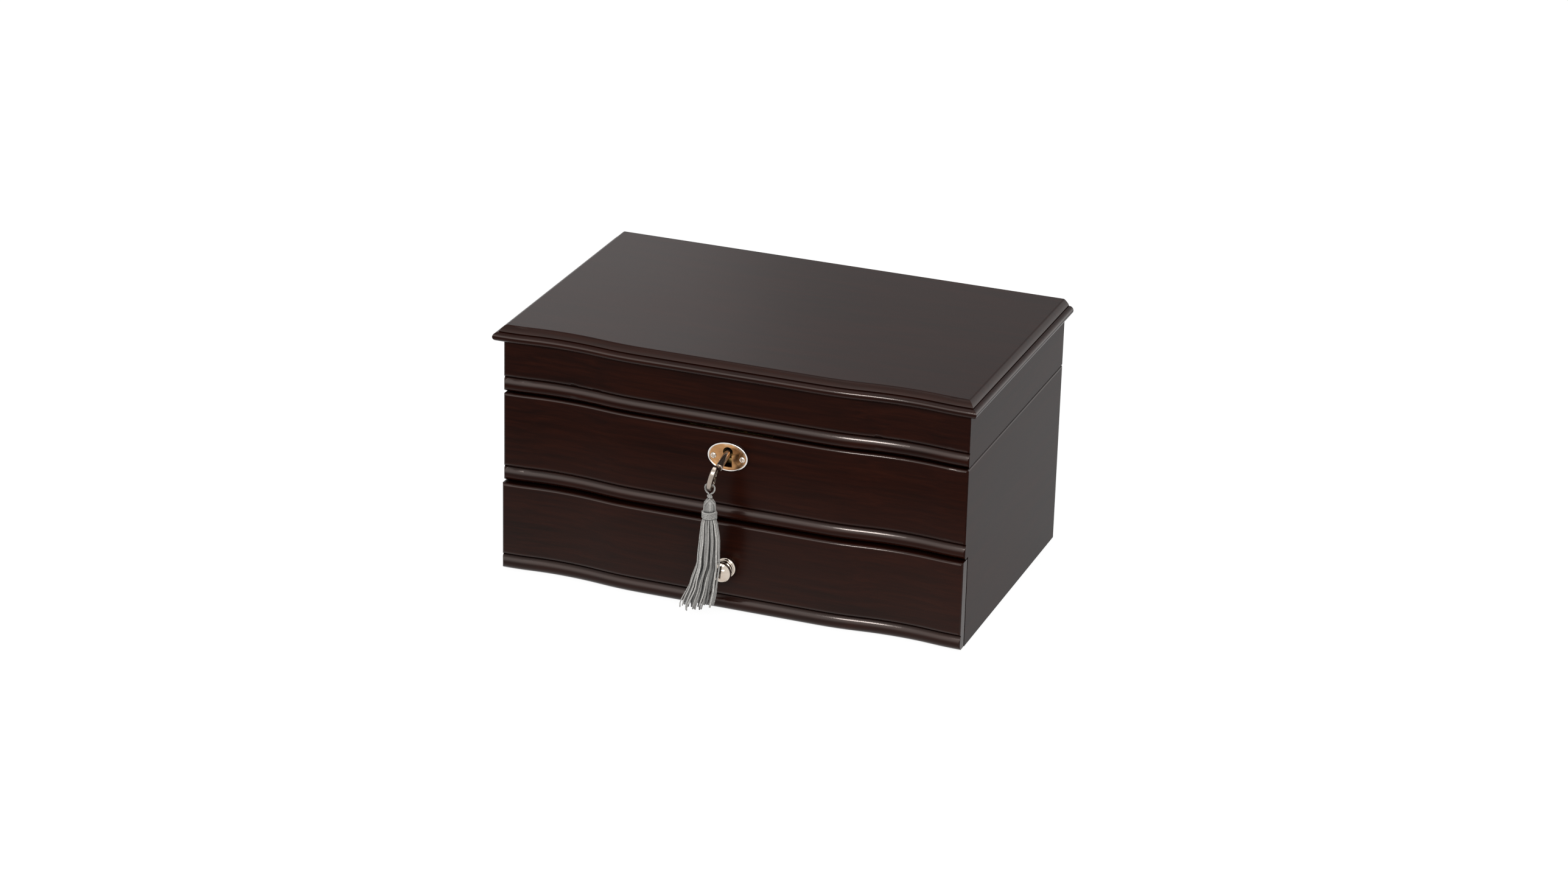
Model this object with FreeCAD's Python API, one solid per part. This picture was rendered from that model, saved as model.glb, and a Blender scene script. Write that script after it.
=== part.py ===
import FreeCAD, Part
import math
import os

# Wooden jewellery box with a lift-up lid, a lock with its key and tassel, and one drawer.
# Millimetres. X runs to the right, Y to the back and Z up.
# The origin is the middle of the felt under the box.

V = FreeCAD.Vector

# Outside of the box
body_width = 320.0          # over the side panels
body_depth = 199.0          # side panel, front corner to back
felt_thick = 1.0            # felt sheet that the box stands on
felt_inset = 3.0            # felt edge inside the wood
total_height = 173.5        # felt to lid top
corner_round = 2.4          # upright outside corners
edge_round = 1.5            # long outside edges

# Plan line of the serpentine fronts
crest_half = 62.0           # half width of the flat middle
valley_x = 119.5            # middle of each hollow
crest_proud = 1.65          # middle in front of the corners
valley_depth = 4.05         # hollows behind the middle

# Panels
side_thick = 9.0
back_thick = 9.0
front_board = 12.0          # upper front and lid front, at the corners
deck_thick = 4.0
bottom_thick = 4.0
lid_board_thick = 10.25
lining_thick = 1.2
fit_gap = 0.1               # lining, dividers and glued-in pieces

# Levels of the fronts
drawer_front_lift = 0.4     # above the underside of the side panels
drawer_front_height = 61.6
front_gap = 0.8             # drawer front to upper front
upper_front_height = 62.4
lid_gap = 0.6               # case to lid

# Bead along the foot of each front, as offsets out from the face and heights
bead_inset = 0.3            # bead behind the face
bead_low_round = 4.6
bead_high_round = 7.5
bead_middle = 4.3           # height of the bead's front
bead_top = 9.3
ledge_rise = 0.5            # small upright step above the bead
groove_depth = 2.75
groove_height = 10.3
face_turn = 3.0             # height over which the face turns into the groove
arris_round = 2.0           # top edge of a front

# Moulding round the lid board, as offsets out from the case
nose_reach = 5.5
nose_round = 2.95
ledge_reach = 2.1
ledge_height = 6.5

# Drawer
drawer_proud = 2.3          # drawer face in front of the upper front
drawer_back_gap = 1.5       # drawer front to the case behind it
drawer_front_thick = 8.7    # at the corners
drawer_side_thick = 6.0
drawer_side_gap = 1.0       # each side
drawer_floor_gap = 0.3      # drawer on the case floor
drawer_rear_gap = 12.6      # drawer box to the back panel
drawer_side_height = 50.0
drawer_back_height = 54.5
drawer_bottom_thick = 3.0
drawer_travel = 115.0
drawer_divider_thick = 5.0
stop_height = 5.0           # stop strip under the deck
stop_width = 6.0

# Compartments under the lid
divider_thick = 5.0
divider_height = 42.0
lining_height = 53.0
long_divider_y = 4.0
front_cross_x = 20.0
back_cross_x = 50.0
roll_count = 6
roll_width = 13.0
roll_height = 21.0

# Mirror in the lid
lid_pad_thick = 3.0
mirror_width = 220.0
mirror_depth = 130.0
mirror_bevel = 1.2

# Hinges
hinge_inset = 55.0          # middle of each hinge, from the side of the box
hinge_length = 32.0
hinge_screw_shift = 10.0    # each side of a hinge's middle
leaf_thick = 1.2
leaf_depth = 9.0            # from the back face into the wood
leaf_gap = 0.2              # between closed leaves
barrel_r = 2.0
hinge_pin_r = 0.8
pin_clearance = 0.05
knuckle_gap = 0.3
barrel_gap = 0.3            # barrel to the back faces
lug_thick = 1.0             # stop lugs behind the barrel
lug_length = 3.6
open_angle = 95.0           # where the lugs meet

# Lock and escutcheon
lock_x = -1.1               # the lock sits a little left of the middle
keyhole_drop = 13.9         # middle of the round end, below the case's top edge
keyhole_r = 3.4
keyhole_length = 10.4       # from there to the foot of the slot
keyhole_neck = 2.5          # half widths of the slot
keyhole_foot = 3.0
escutcheon_width = 27.6
escutcheon_height = 19.5
escutcheon_drop = 17.1      # its middle, below the case's top edge
plate_thick = 0.8
rim_width = 1.0
rim_rise = 0.6
screw_spacing = 20.0        # escutcheon screws
lock_depth = 8.3            # lock case, inside face to front plate
lock_half_width = 19.5
lock_foot_drop = 23.0       # below the case's top edge
lock_wall = 1.0
selvedge_half = 29.0        # plate in the top edge
selvedge_thick = 1.6
selvedge_width = 11.2
mortise_gap = 0.2
hole_margin = 1.2           # hole in the wood round the keyhole
drill_pin_drop = 11.65      # below the case's top edge
drill_pin_r = 0.8
drill_pin_length = 5.7
bolt_thick = 1.6
bolt_inset = 4.8            # its middle, in front of the lock's back
bolt_throw = 4.5
hook_x = 9.0                # staple loops, each side
hook_thick = 2.0
hook_drop = 6.6
hook_width = 4.0
window_width = 2.4
window_height = 2.4
strike_thick = 1.6
strike_width = 8.4          # hidden behind the bead of the lid

# Key
key_droop = 16.0            # the key hangs loose on its pin
key_turned = 15.0           # how far it stands turned, clockwise from the front
key_mouth_out = 1.25        # where its axis crosses the escutcheon, in front of the wood
key_mouth_drop = 14.6       # below the case's top edge
shaft_r = 2.3
bore_r = 1.6
bore_depth = 6.5
key_inside = 12.8
collar_out = 14.6
collar_r = 2.6
collar_length = 1.4
stem_r = 1.5
bow_out = 26.5              # middle of the bow
bow_half_length = 6.8
bow_half_height = 9.4
bow_thick = 3.2
bow_lobe_r = 3.7            # two round lobes make the bow's opening
bow_lobe_shift = 3.3
bit_reach = 6.0
bit_half = 1.0
bit_from = 8.7
bit_to = 12.0

# Tassel
loop_angle = -80.0          # where the cord hangs on the bow
loop_r = 0.65
loop_half = 3.2
loop_rise = 3.2             # above the bow bar
loop_drop = 3.6             # below it, to the knot
knot_r = 2.0
knot_gap = 0.3
head_drop = 1.7             # top of the head, below the middle of the knot
neck_drop = 10.1
neck_length = 4.8
head_r = 4.4
neck_r = 3.9
wrap_r = 0.38
wrap_turns = 4
wrap_pitch = 1.2
skirt_length = 60.5
skirt_half_width = 11.4     # at the tips
skirt_half_depth = 6.2
skirt_lean = 7.0            # tips to the left of the knot

# Knob
knob_height = 30.9          # above the foot of the drawer front
knob_length = 14.6
knob_dome_r = 7.2
knob_shoulder = 10.8        # where the dome starts
knob_screw_r = 1.6
knob_screw_head = 1.6       # sunk in the drawer front

# Flat-headed screws of the hinges and the lock
screw_head_r = 1.8
screw_head_height = 0.9
screw_shank_r = 0.9
hinge_screw_length = 8.0
lock_screw_length = 9.0
screw_gap = 0.05

# Worked out from the sizes above
half = body_width / 2
front_y = -body_depth / 2
back_y = body_depth / 2
wood_z = felt_thick
crest_y = front_y - crest_proud
valley_y = crest_y + valley_depth
front_back_y = front_y + front_board
inner_half = half - side_thick
inner_back = back_y - back_thick
drawer_front_z = wood_z + drawer_front_lift
drawer_front_top = drawer_front_z + drawer_front_height
upper_z = drawer_front_top + front_gap
case_top = upper_z + upper_front_height
lid_z = case_top + lid_gap
board_z = total_height - lid_board_thick
rail_height = board_z - lid_z
drawer_back_face = front_y - drawer_proud + drawer_front_thick
notch_y = drawer_back_face + drawer_back_gap
deck_z = upper_z
floor_z = wood_z + bottom_thick
deck_top = deck_z + deck_thick
hinge_z = (case_top + lid_z) / 2
hinge_y = back_y + barrel_gap + barrel_r
hinge_x = half - hinge_inset
keyhole_z = case_top - keyhole_drop
keyhole_foot_z = keyhole_z - keyhole_length
escutcheon_z = case_top - escutcheon_drop
lock_foot_z = case_top - lock_foot_drop
drill_pin_z = case_top - drill_pin_drop
bolt_y = front_back_y - bolt_inset
key_mouth_y = crest_y - key_mouth_out
key_mouth_z = case_top - key_mouth_drop
knob_z = drawer_front_z + knob_height


def box(x0, x1, y0, y1, z0, z1):
    """Block between two corners."""
    return Part.makeBox(x1 - x0, y1 - y0, z1 - z0, V(x0, y0, z0))


def rod(start, end, radius):
    """Round bar from one point to another."""
    return Part.makeCylinder(radius, (end - start).Length, start, end - start)


def arc(u, v, radius, start, end):
    """Start, middle and end of an arc about (u, v), angles in degrees."""
    angles = [math.radians(a) for a in (start, (start + end) / 2, end)]
    return [(u + radius * math.cos(a), v + radius * math.sin(a)) for a in angles]


def outline(steps, place):
    """Closed wire through points and three-point arcs, put in space by place."""
    spans = [step if isinstance(step, list) else [step] for step in steps]
    edges = []
    for here, after in zip(spans, spans[1:] + spans[:1]):
        if len(here) == 3:
            edges.append(Part.Arc(*[place(*p) for p in here]).toShape())
        start, end = place(*here[-1]), place(*after[0])
        if start.distanceToPoint(end) > 1e-6:
            edges.append(Part.makeLine(start, end))
    return Part.Wire(edges)


def prism(steps, place, way):
    """Solid of an outline pushed along a vector."""
    return Part.Face(outline(steps, place)).extrude(way)


def arris_cutter(corner, out_a, out_b, along, radius):
    """Bar that softens the edge at corner, where faces that look along out_a and out_b meet."""
    sink = radius * math.cos(math.radians(15))
    reach = sink - radius * math.sin(math.radians(15))
    bulge = sink - radius * math.sqrt(0.5)
    clear = 2 * radius
    steps = [[(0, -reach), (-bulge, -bulge), (-reach, 0)]]
    steps += [(-reach, clear), (clear, clear), (clear, -reach)]
    return prism(steps, lambda a, b: corner + out_a * a + out_b * b, along)


def joined(shapes):
    """One solid made of several that overlap or touch."""
    return shapes[0].multiFuse(shapes[1:]).removeSplitter()


def mirrored(shape):
    """The same piece on the other side of the box."""
    return shape.mirror(V(0, 0, 0), V(1, 0, 0))


# Serpentine line and moulded boards

def bends():
    """Centre, radius, start and end slope, and side of each bend from the middle to the right end."""
    inner = 2 * math.atan(valley_depth / (valley_x - crest_half))
    outer = 2 * math.atan((valley_y - front_y) / (half - valley_x))
    r_inner = (valley_x - crest_half) / (2 * math.sin(inner))
    r_outer = (half - valley_x) / (2 * math.sin(outer))
    return [
        (crest_half, crest_y + r_inner, r_inner, 0.0, inner, 1),
        (valley_x, valley_y - r_inner, r_inner, inner, 0.0, -1),
        (valley_x, valley_y - r_outer, r_outer, 0.0, -outer, -1),
        (half, front_y + r_outer, r_outer, -outer, 0.0, 1),
    ]


def front_line(reach):
    """Edges of the serpentine from x = -reach to x = reach."""
    right = []
    for x, y, radius, start, end, side in bends():
        slopes = (start, (start + end) / 2, end)
        at = lambda s: V(x + side * radius * math.sin(s), y - side * radius * math.cos(s), 0)
        right.append([at(s) for s in slopes])
    left = [[V(-p.x, p.y, 0) for p in reversed(points)] for points in reversed(right)]
    edges = [Part.Arc(*points).toShape() for points in left]
    edges.append(Part.makeLine(left[-1][-1], right[0][0]))
    edges += [Part.Arc(*points).toShape() for points in right]
    if reach > half:
        edges.insert(0, Part.makeLine(V(-reach, front_y, 0), left[0][0]))
        edges.append(Part.makeLine(right[-1][-1], V(reach, front_y, 0)))
    return edges


def sweep_front(steps, base_z, reach):
    """Sweep a section of (offset out, height) along the serpentine."""
    section = outline(steps, lambda out, up: V(-reach, front_y - out, base_z + up))
    return Part.Wire(front_line(reach)).makePipeShell([section], True, False)


def bead_steps(height, proud, top_round):
    """Front of a moulded board from its foot to its top, without the back."""
    turn_r = (groove_depth ** 2 + face_turn ** 2) / (2 * groove_depth)
    turn_from = -math.degrees(math.atan2(face_turn, turn_r - groove_depth))
    face = proud
    low = arc(face - bead_inset - bead_low_round, bead_middle, bead_low_round,
              -math.degrees(math.asin(bead_middle / bead_low_round)), 0)
    high = arc(face - bead_inset - bead_high_round, bead_middle, bead_high_round,
               0, math.degrees(math.asin((bead_top - bead_middle) / bead_high_round)))
    ledge = (high[2][0], bead_top + ledge_rise)
    groove = (face - groove_depth, bead_top + ledge_rise)
    turn = arc(face - turn_r, groove_height + face_turn, turn_r, turn_from, 0)
    steps = [low, high, ledge, groove, turn]
    if top_round:
        steps.append(arc(face - top_round, height - top_round, top_round, 0, 90))
    else:
        steps.append((face, height))
    return steps


def moulded_board(base_z, height, proud, top_round, back_face):
    """Serpentine board with the bead along its foot and a flat back."""
    deep = 20.0
    steps = [(proud - deep, 0)] + bead_steps(height, proud, top_round) + [(proud - deep, height)]
    top_z = base_z + height
    behind = box(-half - 1, half + 1, back_face, front_y + 2 * deep, base_z - 1, top_z + 1)
    return sweep_front(steps, base_z, half).cut(behind)


def side_region(base_z, top_z):
    """All that belongs to the right side panel, behind the mitre at the front corner."""
    out = 10.0
    corner = [
        (half + out, front_y - out), (half + out, back_y + out),
        (inner_half, back_y + out), (inner_half, front_y + side_thick),
    ]
    return prism(corner, lambda x, y: V(x, y, base_z), V(0, 0, top_z - base_z))


def corner_cutters(base_z, top_z):
    """Softens the right front and back upright corners."""
    up = V(0, 0, top_z - base_z + 2)
    front = arris_cutter(V(half, front_y, base_z - 1), V(1, 0, 0), V(0, -1, 0), up, corner_round)
    back = arris_cutter(V(half, back_y, base_z - 1), V(1, 0, 0), V(0, 1, 0), up, edge_round)
    return front, back


def mitred_front(board, base_z, top_z):
    """Cut both ends of a front board to its mitres."""
    region = side_region(base_z - 1, top_z + 1)
    front, _ = corner_cutters(base_z, top_z)
    cutters = [region, front]
    return board.cut(cutters + [mirrored(c) for c in cutters])


def side_board(steps, base_z, top_z):
    """Right side panel whose front edge has the section of the front board."""
    place = lambda out, up: V(inner_half, front_y - out, base_z + up)
    panel = prism(steps, place, V(side_thick, 0, 0)).common(side_region(wood_z - 1, total_height))
    return panel.cut(list(corner_cutters(wood_z, total_height)))


# Case

def case_panels():
    """Sides, fronts, back, deck, floor and felt."""
    upper = moulded_board(upper_z, upper_front_height, 0, arris_round, front_back_y)
    upper = mitred_front(upper, upper_z, case_top)
    foot = wood_z - upper_z
    notch = front_y - notch_y
    steps = [(-body_depth, foot), (notch, foot), (notch, 0)]
    steps += bead_steps(upper_front_height, 0, arris_round) + [(-body_depth, upper_front_height)]
    side = side_board(steps, upper_z, case_top)
    top_edge = V(half, front_y - 1, case_top)
    side = side.cut(arris_cutter(top_edge, V(1, 0, 0), V(0, 0, 1), V(0, body_depth + 2, 0), edge_round))
    back = box(-inner_half, inner_half, inner_back, back_y, wood_z, case_top)
    return {
        "upper_front": upper,
        "right_side_panel": side,
        "left_side_panel": mirrored(side),
        "back_panel": back,
        "deck_panel": box(-inner_half, inner_half, front_back_y, inner_back, deck_z, deck_top),
        "bottom_panel": box(-inner_half, inner_half, notch_y, inner_back, wood_z, floor_z),
        "base_felt": box(-half + felt_inset, half - felt_inset,
                         notch_y + felt_inset, back_y - felt_inset, 0, felt_thick),
    }


def drawer_stop():
    """Strip under the deck that the drawer's back meets when it is out."""
    strip_back = drawer_rear() - drawer_side_thick - drawer_travel - drawer_floor_gap
    strip_front = strip_back - stop_width
    return box(-inner_half / 2, inner_half / 2, strip_front, strip_back, deck_z - stop_height, deck_z)


def tray_parts():
    """Lining, dividers and ring rolls of the compartment under the lid."""
    wide, low, high = inner_half - fit_gap, front_back_y + fit_gap, inner_back - fit_gap
    shell = box(-wide, wide, low, high, deck_top, deck_top + lining_height)
    wide, low, high = wide - lining_thick, low + lining_thick, high - lining_thick
    floor = deck_top + lining_thick
    lining = shell.cut(box(-wide, wide, low, high, floor, deck_top + lining_height + 1))
    wide, low, high = wide - fit_gap, low + fit_gap, high - fit_gap
    top = floor + divider_height
    half_thick = divider_thick / 2
    long_front, long_back = long_divider_y - half_thick, long_divider_y + half_thick
    parts = {
        "tray_lining": lining,
        "long_divider": box(-wide, wide, long_front, long_back, floor, top),
        "front_cross_divider": box(front_cross_x - half_thick, front_cross_x + half_thick,
                                   low, long_front - fit_gap, floor, top),
        "back_cross_dividers": Part.makeCompound([
            box(x - half_thick, x + half_thick, long_back + fit_gap, high, floor, top)
            for x in (-back_cross_x, back_cross_x)
        ]),
        "ring_rolls": ring_rolls(-wide, front_cross_x - half_thick - fit_gap,
                                 low, long_front - fit_gap, floor),
    }
    return parts


def ring_rolls(x0, x1, y0, y1, floor):
    """Row of padded rolls: flat underneath, crowned on top, drawn in at their ends."""
    pitch = (y1 - y0) / roll_count
    ends = 7.0
    stations = ((x0, 0.72), (x0 + ends / 3, 0.92), (x0 + ends, 1.0),
                (x1 - ends, 1.0), (x1 - ends / 3, 0.92), (x1, 0.72))
    rolls = []
    for i in range(roll_count):
        middle = y0 + (i + 0.5) * pitch
        sections = []
        for x, share in stations:
            r = roll_width / 2 * share
            top = roll_height - roll_width / 2 * (1 - share) - r
            steps = [(-r, 0), (r, 0), arc(0, top, r, 0, 90), arc(0, top, r, 90, 180)]
            sections.append(outline(steps, lambda a, b: V(x, middle + a, floor + b)))
        rolls.append(Part.makeLoft(sections, True, True))
    return Part.makeCompound(rolls)


# Lid

def lid_moulding_steps():
    """Edge of the lid board from the underside, round the nose and up the slope to the flat top."""
    slope_top = (-0.5, lid_board_thick - 0.7)
    return [
        arc(nose_reach - nose_round, nose_round, nose_round, -90, 90),
        (ledge_reach, 2 * nose_round),
        [(ledge_reach, ledge_height), (0.95, 8.15), slope_top],
        [slope_top, (-1.2, lid_board_thick - 0.2), (-2.0, lid_board_thick)],
    ]


def lid_board():
    """Top board: one moulding on the front and both sides, and a plain back edge."""
    deep = 30.0
    reach = half + nose_reach + 2
    steps = [(-deep, 0)] + lid_moulding_steps() + [(-deep, lid_board_thick)]
    strip = sweep_front(steps, board_z, reach)
    slab = box(-reach, reach, front_y + deep / 2, back_y, board_z, total_height)
    side = [s if isinstance(s, list) else [s] for s in lid_moulding_steps()]
    right = [[(half + out, up) for out, up in span] for span in side]
    left = [[(-x, up) for x, up in reversed(span)] for span in reversed(right)]
    spans = [span if len(span) == 3 else span[0] for span in right + left]
    between = prism(spans, lambda x, up: V(x, front_y - deep, board_z + up), V(0, body_depth + deep, 0))
    return joined([strip, slab]).common(between)


def lid_parts():
    """Board, four rails, pad, and mirror."""
    front = moulded_board(lid_z, rail_height, 0, 0, front_back_y)
    front = mitred_front(front, lid_z, board_z)
    steps = [(-body_depth, 0)] + bead_steps(rail_height, 0, 0) + [(-body_depth, rail_height)]
    side = side_board(steps, lid_z, board_z)
    low_edge = V(half, front_y - 1, lid_z)
    side = side.cut(arris_cutter(low_edge, V(1, 0, 0), V(0, 0, -1), V(0, body_depth + 2, 0), edge_round / 2))
    pad_low, pad_high = front_back_y + fit_gap, inner_back - fit_gap
    wide = inner_half - fit_gap
    pad_z = board_z - lid_pad_thick
    middle = (pad_low + pad_high) / 2
    half_wide, half_deep = mirror_width / 2, mirror_depth / 2
    mirror = box(-half_wide, half_wide, middle - half_deep, middle + half_deep, pad_z, board_z)
    half_wide, half_deep = half_wide + fit_gap, half_deep + fit_gap
    opening = box(-half_wide, half_wide, middle - half_deep, middle + half_deep, pad_z - 1, board_z + 1)
    shown = [edge for edge in mirror.Edges if edge.BoundBox.ZMax < pad_z + 0.1]
    return {
        "lid_board": lid_board(),
        "lid_front_rail": front,
        "lid_right_rail": side,
        "lid_left_rail": mirrored(side),
        "lid_back_rail": box(-inner_half, inner_half, inner_back, back_y, lid_z, board_z),
        "lid_pad": box(-wide, wide, pad_low, pad_high, pad_z, board_z).cut(opening),
        "mirror": mirror.makeChamfer(mirror_bevel, shown),
    }


# Hinges

def flat_screw(start, way, length):
    """Flat-headed screw, driven from the face of its head."""
    head = Part.makeCone(screw_head_r, screw_shank_r, screw_head_height, start, way)
    shank = rod(start + way * (screw_head_height / 2), start + way * length, screw_shank_r)
    return head.fuse(shank).removeSplitter()


def hinge_screws(face_z, up):
    """Two screws for each leaf, driven from face_z the way up says."""
    y = back_y - leaf_depth / 2
    spots = [
        V(side * hinge_x + end * hinge_screw_shift, y, face_z)
        for side in (-1, 1) for end in (-1, 1)
    ]
    return Part.makeCompound([flat_screw(spot, V(0, 0, up), hinge_screw_length) for spot in spots])


def screw_room(screws):
    """The same screws, a little fatter, to cut their holes."""
    return Part.makeCompound([s.makeOffsetShape(screw_gap, 0.001, fill=False) for s in screws.Solids])


def hinge_leaf(side, lid):
    """Leaf with its knuckles and stop lugs: the case leaf has the outer knuckles, the lid leaf one."""
    middle = side * hinge_x
    x0, x1 = middle - hinge_length / 2, middle + hinge_length / 2
    third = hinge_length / 3
    if lid:
        z0, z1 = hinge_z + leaf_gap / 2, hinge_z + leaf_gap / 2 + leaf_thick
        knuckles = [(x0 + third + knuckle_gap, x1 - third - knuckle_gap)]
        rooms = [(x0 - 1, x0 + third + knuckle_gap), (x1 - third - knuckle_gap, x1 + 1)]
    else:
        z0, z1 = hinge_z - leaf_gap / 2 - leaf_thick, hinge_z - leaf_gap / 2
        knuckles = [(x0, x0 + third), (x1 - third, x1)]
        rooms = [(x0 + third, x1 - third)]
    leaf = box(x0, x1, back_y - leaf_depth, hinge_y, z0, z1)
    room_r = barrel_r + knuckle_gap
    leaf = leaf.cut([rod(V(a, hinge_y, hinge_z), V(b, hinge_y, hinge_z), room_r) for a, b in rooms])
    barrels = [rod(V(a, hinge_y, hinge_z), V(b, hinge_y, hinge_z), barrel_r) for a, b in knuckles]
    lugs = lid_lug(*knuckles[0]) if lid else [case_lug(a, b) for a, b in knuckles]
    bore = rod(V(x0 - 1, hinge_y, hinge_z), V(x1 + 1, hinge_y, hinge_z), hinge_pin_r + pin_clearance)
    return joined([leaf] + barrels + lugs).cut(bore)


def lid_lug(x0, x1):
    """Tail straight back from the lid's barrel, with a wider end that reaches past the case's barrels."""
    reach = hinge_y + barrel_r + lug_length
    wide = hinge_length / 6
    z0, z1 = hinge_z - lug_thick / 2, hinge_z + lug_thick / 2
    tail = box(x0, x1, hinge_y, reach, z0, z1)
    return [tail, box(x0 - wide, x1 + wide, hinge_y + barrel_r + knuckle_gap, reach, z0, z1)]


def case_lug(x0, x1):
    """Tail down from the case's barrel, where the lid's tail meets it when the lid is open."""
    reach = hinge_y + barrel_r + lug_length
    tail = box(x0, x1, hinge_y, reach, hinge_z - 1.5 * lug_thick, hinge_z - 0.5 * lug_thick)
    tail.rotate(V(0, hinge_y, hinge_z), V(-1, 0, 0), open_angle)
    return tail


def hinge_parts():
    """Leaves, pins and screws of both hinges."""
    case_screws = hinge_screws(hinge_z - leaf_gap / 2, -1)
    lid_screws = hinge_screws(hinge_z + leaf_gap / 2, 1)
    parts = {"case_hinge_screws": case_screws, "lid_hinge_screws": lid_screws}
    pins = []
    for side, name in ((-1, "left"), (1, "right")):
        parts[name + "_hinge_case_leaf"] = hinge_leaf(side, False).cut(screw_room(case_screws))
        parts[name + "_hinge_lid_leaf"] = hinge_leaf(side, True).cut(screw_room(lid_screws))
        x0, x1 = side * hinge_x - hinge_length / 2, side * hinge_x + hinge_length / 2
        pins.append(rod(V(x0, hinge_y, hinge_z), V(x1, hinge_y, hinge_z), hinge_pin_r))
    parts["hinge_pins"] = Part.makeCompound(pins)
    return parts


def leaf_rooms(lid):
    """Recesses for the leaves in the back edges."""
    depth = leaf_thick + leaf_gap / 2 - lid_gap / 2
    z0, z1 = (lid_z - 1, lid_z + depth) if lid else (case_top - depth, case_top + 1)
    rooms = []
    for side in (-1, 1):
        x0 = side * hinge_x - hinge_length / 2 - fit_gap
        x1 = side * hinge_x + hinge_length / 2 + fit_gap
        rooms.append(box(x0, x1, back_y - leaf_depth - fit_gap, back_y + 1, z0, z1))
    return rooms


# Lock

def keyhole_prism(grow, y0, y1, foot_z, centre_z):
    """Keyhole with a round head and a slot that widens to its foot."""
    radius = keyhole_r + grow
    head = rod(V(0, y0, centre_z), V(0, y1, centre_z), radius)
    neck, foot = keyhole_neck + grow, keyhole_foot + grow
    steps = [(-neck, centre_z), (neck, centre_z), (foot, foot_z - grow), (-foot, foot_z - grow)]
    slot = prism(steps, lambda x, z: V(x, y0, z), V(0, y1 - y0, 0))
    return head.fuse(slot)


def ellipse_disc(half_wide, half_high, y0, y1):
    """Upright oval disc about the escutcheon's middle."""
    centre = V(0, y0, escutcheon_z)
    curve = Part.Ellipse(centre + V(half_wide, 0, 0), centre + V(0, 0, half_high), centre)
    face = Part.Face(Part.Wire(curve.toShape()))
    return face.extrude(V(0, y1 - y0, 0))


def escutcheon_screw_spots():
    """Places of the two screws on the plate's face."""
    face = crest_y - plate_thick
    return [V(side * screw_spacing / 2, face, escutcheon_z - 0.6) for side in (-1, 1)]


def escutcheon_parts():
    """Oval plate with a raised rim, and its two dome-headed screws."""
    wide, high = escutcheon_width / 2, escutcheon_height / 2
    plate = ellipse_disc(wide, high, crest_y, crest_y - plate_thick - rim_rise)
    face = crest_y - plate_thick
    field = ellipse_disc(wide - rim_width, high - rim_width, face, face - 2)
    plate = plate.cut(field)
    front = crest_y - plate_thick - rim_rise
    rims = [e for e in plate.Edges if abs(e.CenterOfMass.y - front) < 0.01]
    plate = plate.makeFillet(rim_width * 0.42, rims)
    plate = plate.cut(keyhole_prism(0, crest_y + 1, crest_y - 3, keyhole_foot_z, keyhole_z))
    head_r, head_h, shank_r, length = 2.0, 1.0, 0.8, 5.0
    screws = []
    for spot in escutcheon_screw_spots():
        ball_r = (head_r ** 2 + head_h ** 2) / (2 * head_h)
        ball = Part.makeSphere(ball_r, spot + V(0, ball_r - head_h, 0))
        head = ball.common(rod(spot, spot + V(0, -2 * head_h, 0), head_r))
        screws.append(head.fuse(rod(spot, spot + V(0, length, 0), shank_r)))
        plate = plate.cut(rod(spot + V(0, -0.01, 0), spot + V(0, 3, 0), shank_r + screw_gap))
    return {"escutcheon": plate, "escutcheon_screws": Part.makeCompound(screws)}


def lock_y():
    """Front and back of the lock case."""
    return front_back_y - lock_depth, front_back_y


def lock_case_parts():
    """Pressed case with its selvedge plate, back plate with the drill pin, and four screws."""
    y0, y1 = lock_y()
    x = lock_half_width
    selvedge_z = case_top - selvedge_thick
    plate_y = y1 - lock_wall
    case = box(-x, x, y0, plate_y, lock_foot_z - lock_wall, selvedge_z)
    room = box(-x + lock_wall, x - lock_wall, y0 + lock_wall, plate_y + 1, lock_foot_z, selvedge_z - 0.01)
    selvedge = box(-selvedge_half, selvedge_half, y1 - selvedge_width, y1, selvedge_z, case_top)
    case = joined([case.cut(room), selvedge])
    case = case.cut(keyhole_prism(0, y0 - 1, y0 + lock_wall + 0.5, drill_pin_z - 9, drill_pin_z - 0.8))
    slots = [
        box(side * hook_x - hook_thick / 2 - 0.8, side * hook_x + hook_thick / 2 + 0.8,
            bolt_y - hook_width / 2 - 0.5, bolt_y + hook_width / 2 + 0.5, selvedge_z - 1, case_top + 1)
        for side in (-1, 1)
    ]
    case = case.cut(slots)
    back = box(-x, x, plate_y, y1, lock_foot_z - lock_wall, selvedge_z)
    pin = rod(V(0, plate_y + 0.2, drill_pin_z), V(0, plate_y - drill_pin_length, drill_pin_z), drill_pin_r)
    screws = selvedge_screws()
    return {
        "lock_case": case.cut(screw_room(screws)),
        "lock_back_plate": back.fuse(pin).removeSplitter(),
        "lock_screws": screws,
    }


def selvedge_screws():
    """Screws down through the ends of the selvedge."""
    y = front_back_y - selvedge_width / 2
    spots = [V(side * (selvedge_half - 4), y, case_top) for side in (-1, 1)]
    return Part.makeCompound([flat_screw(spot, V(0, 0, -1), lock_screw_length) for spot in spots])


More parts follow.
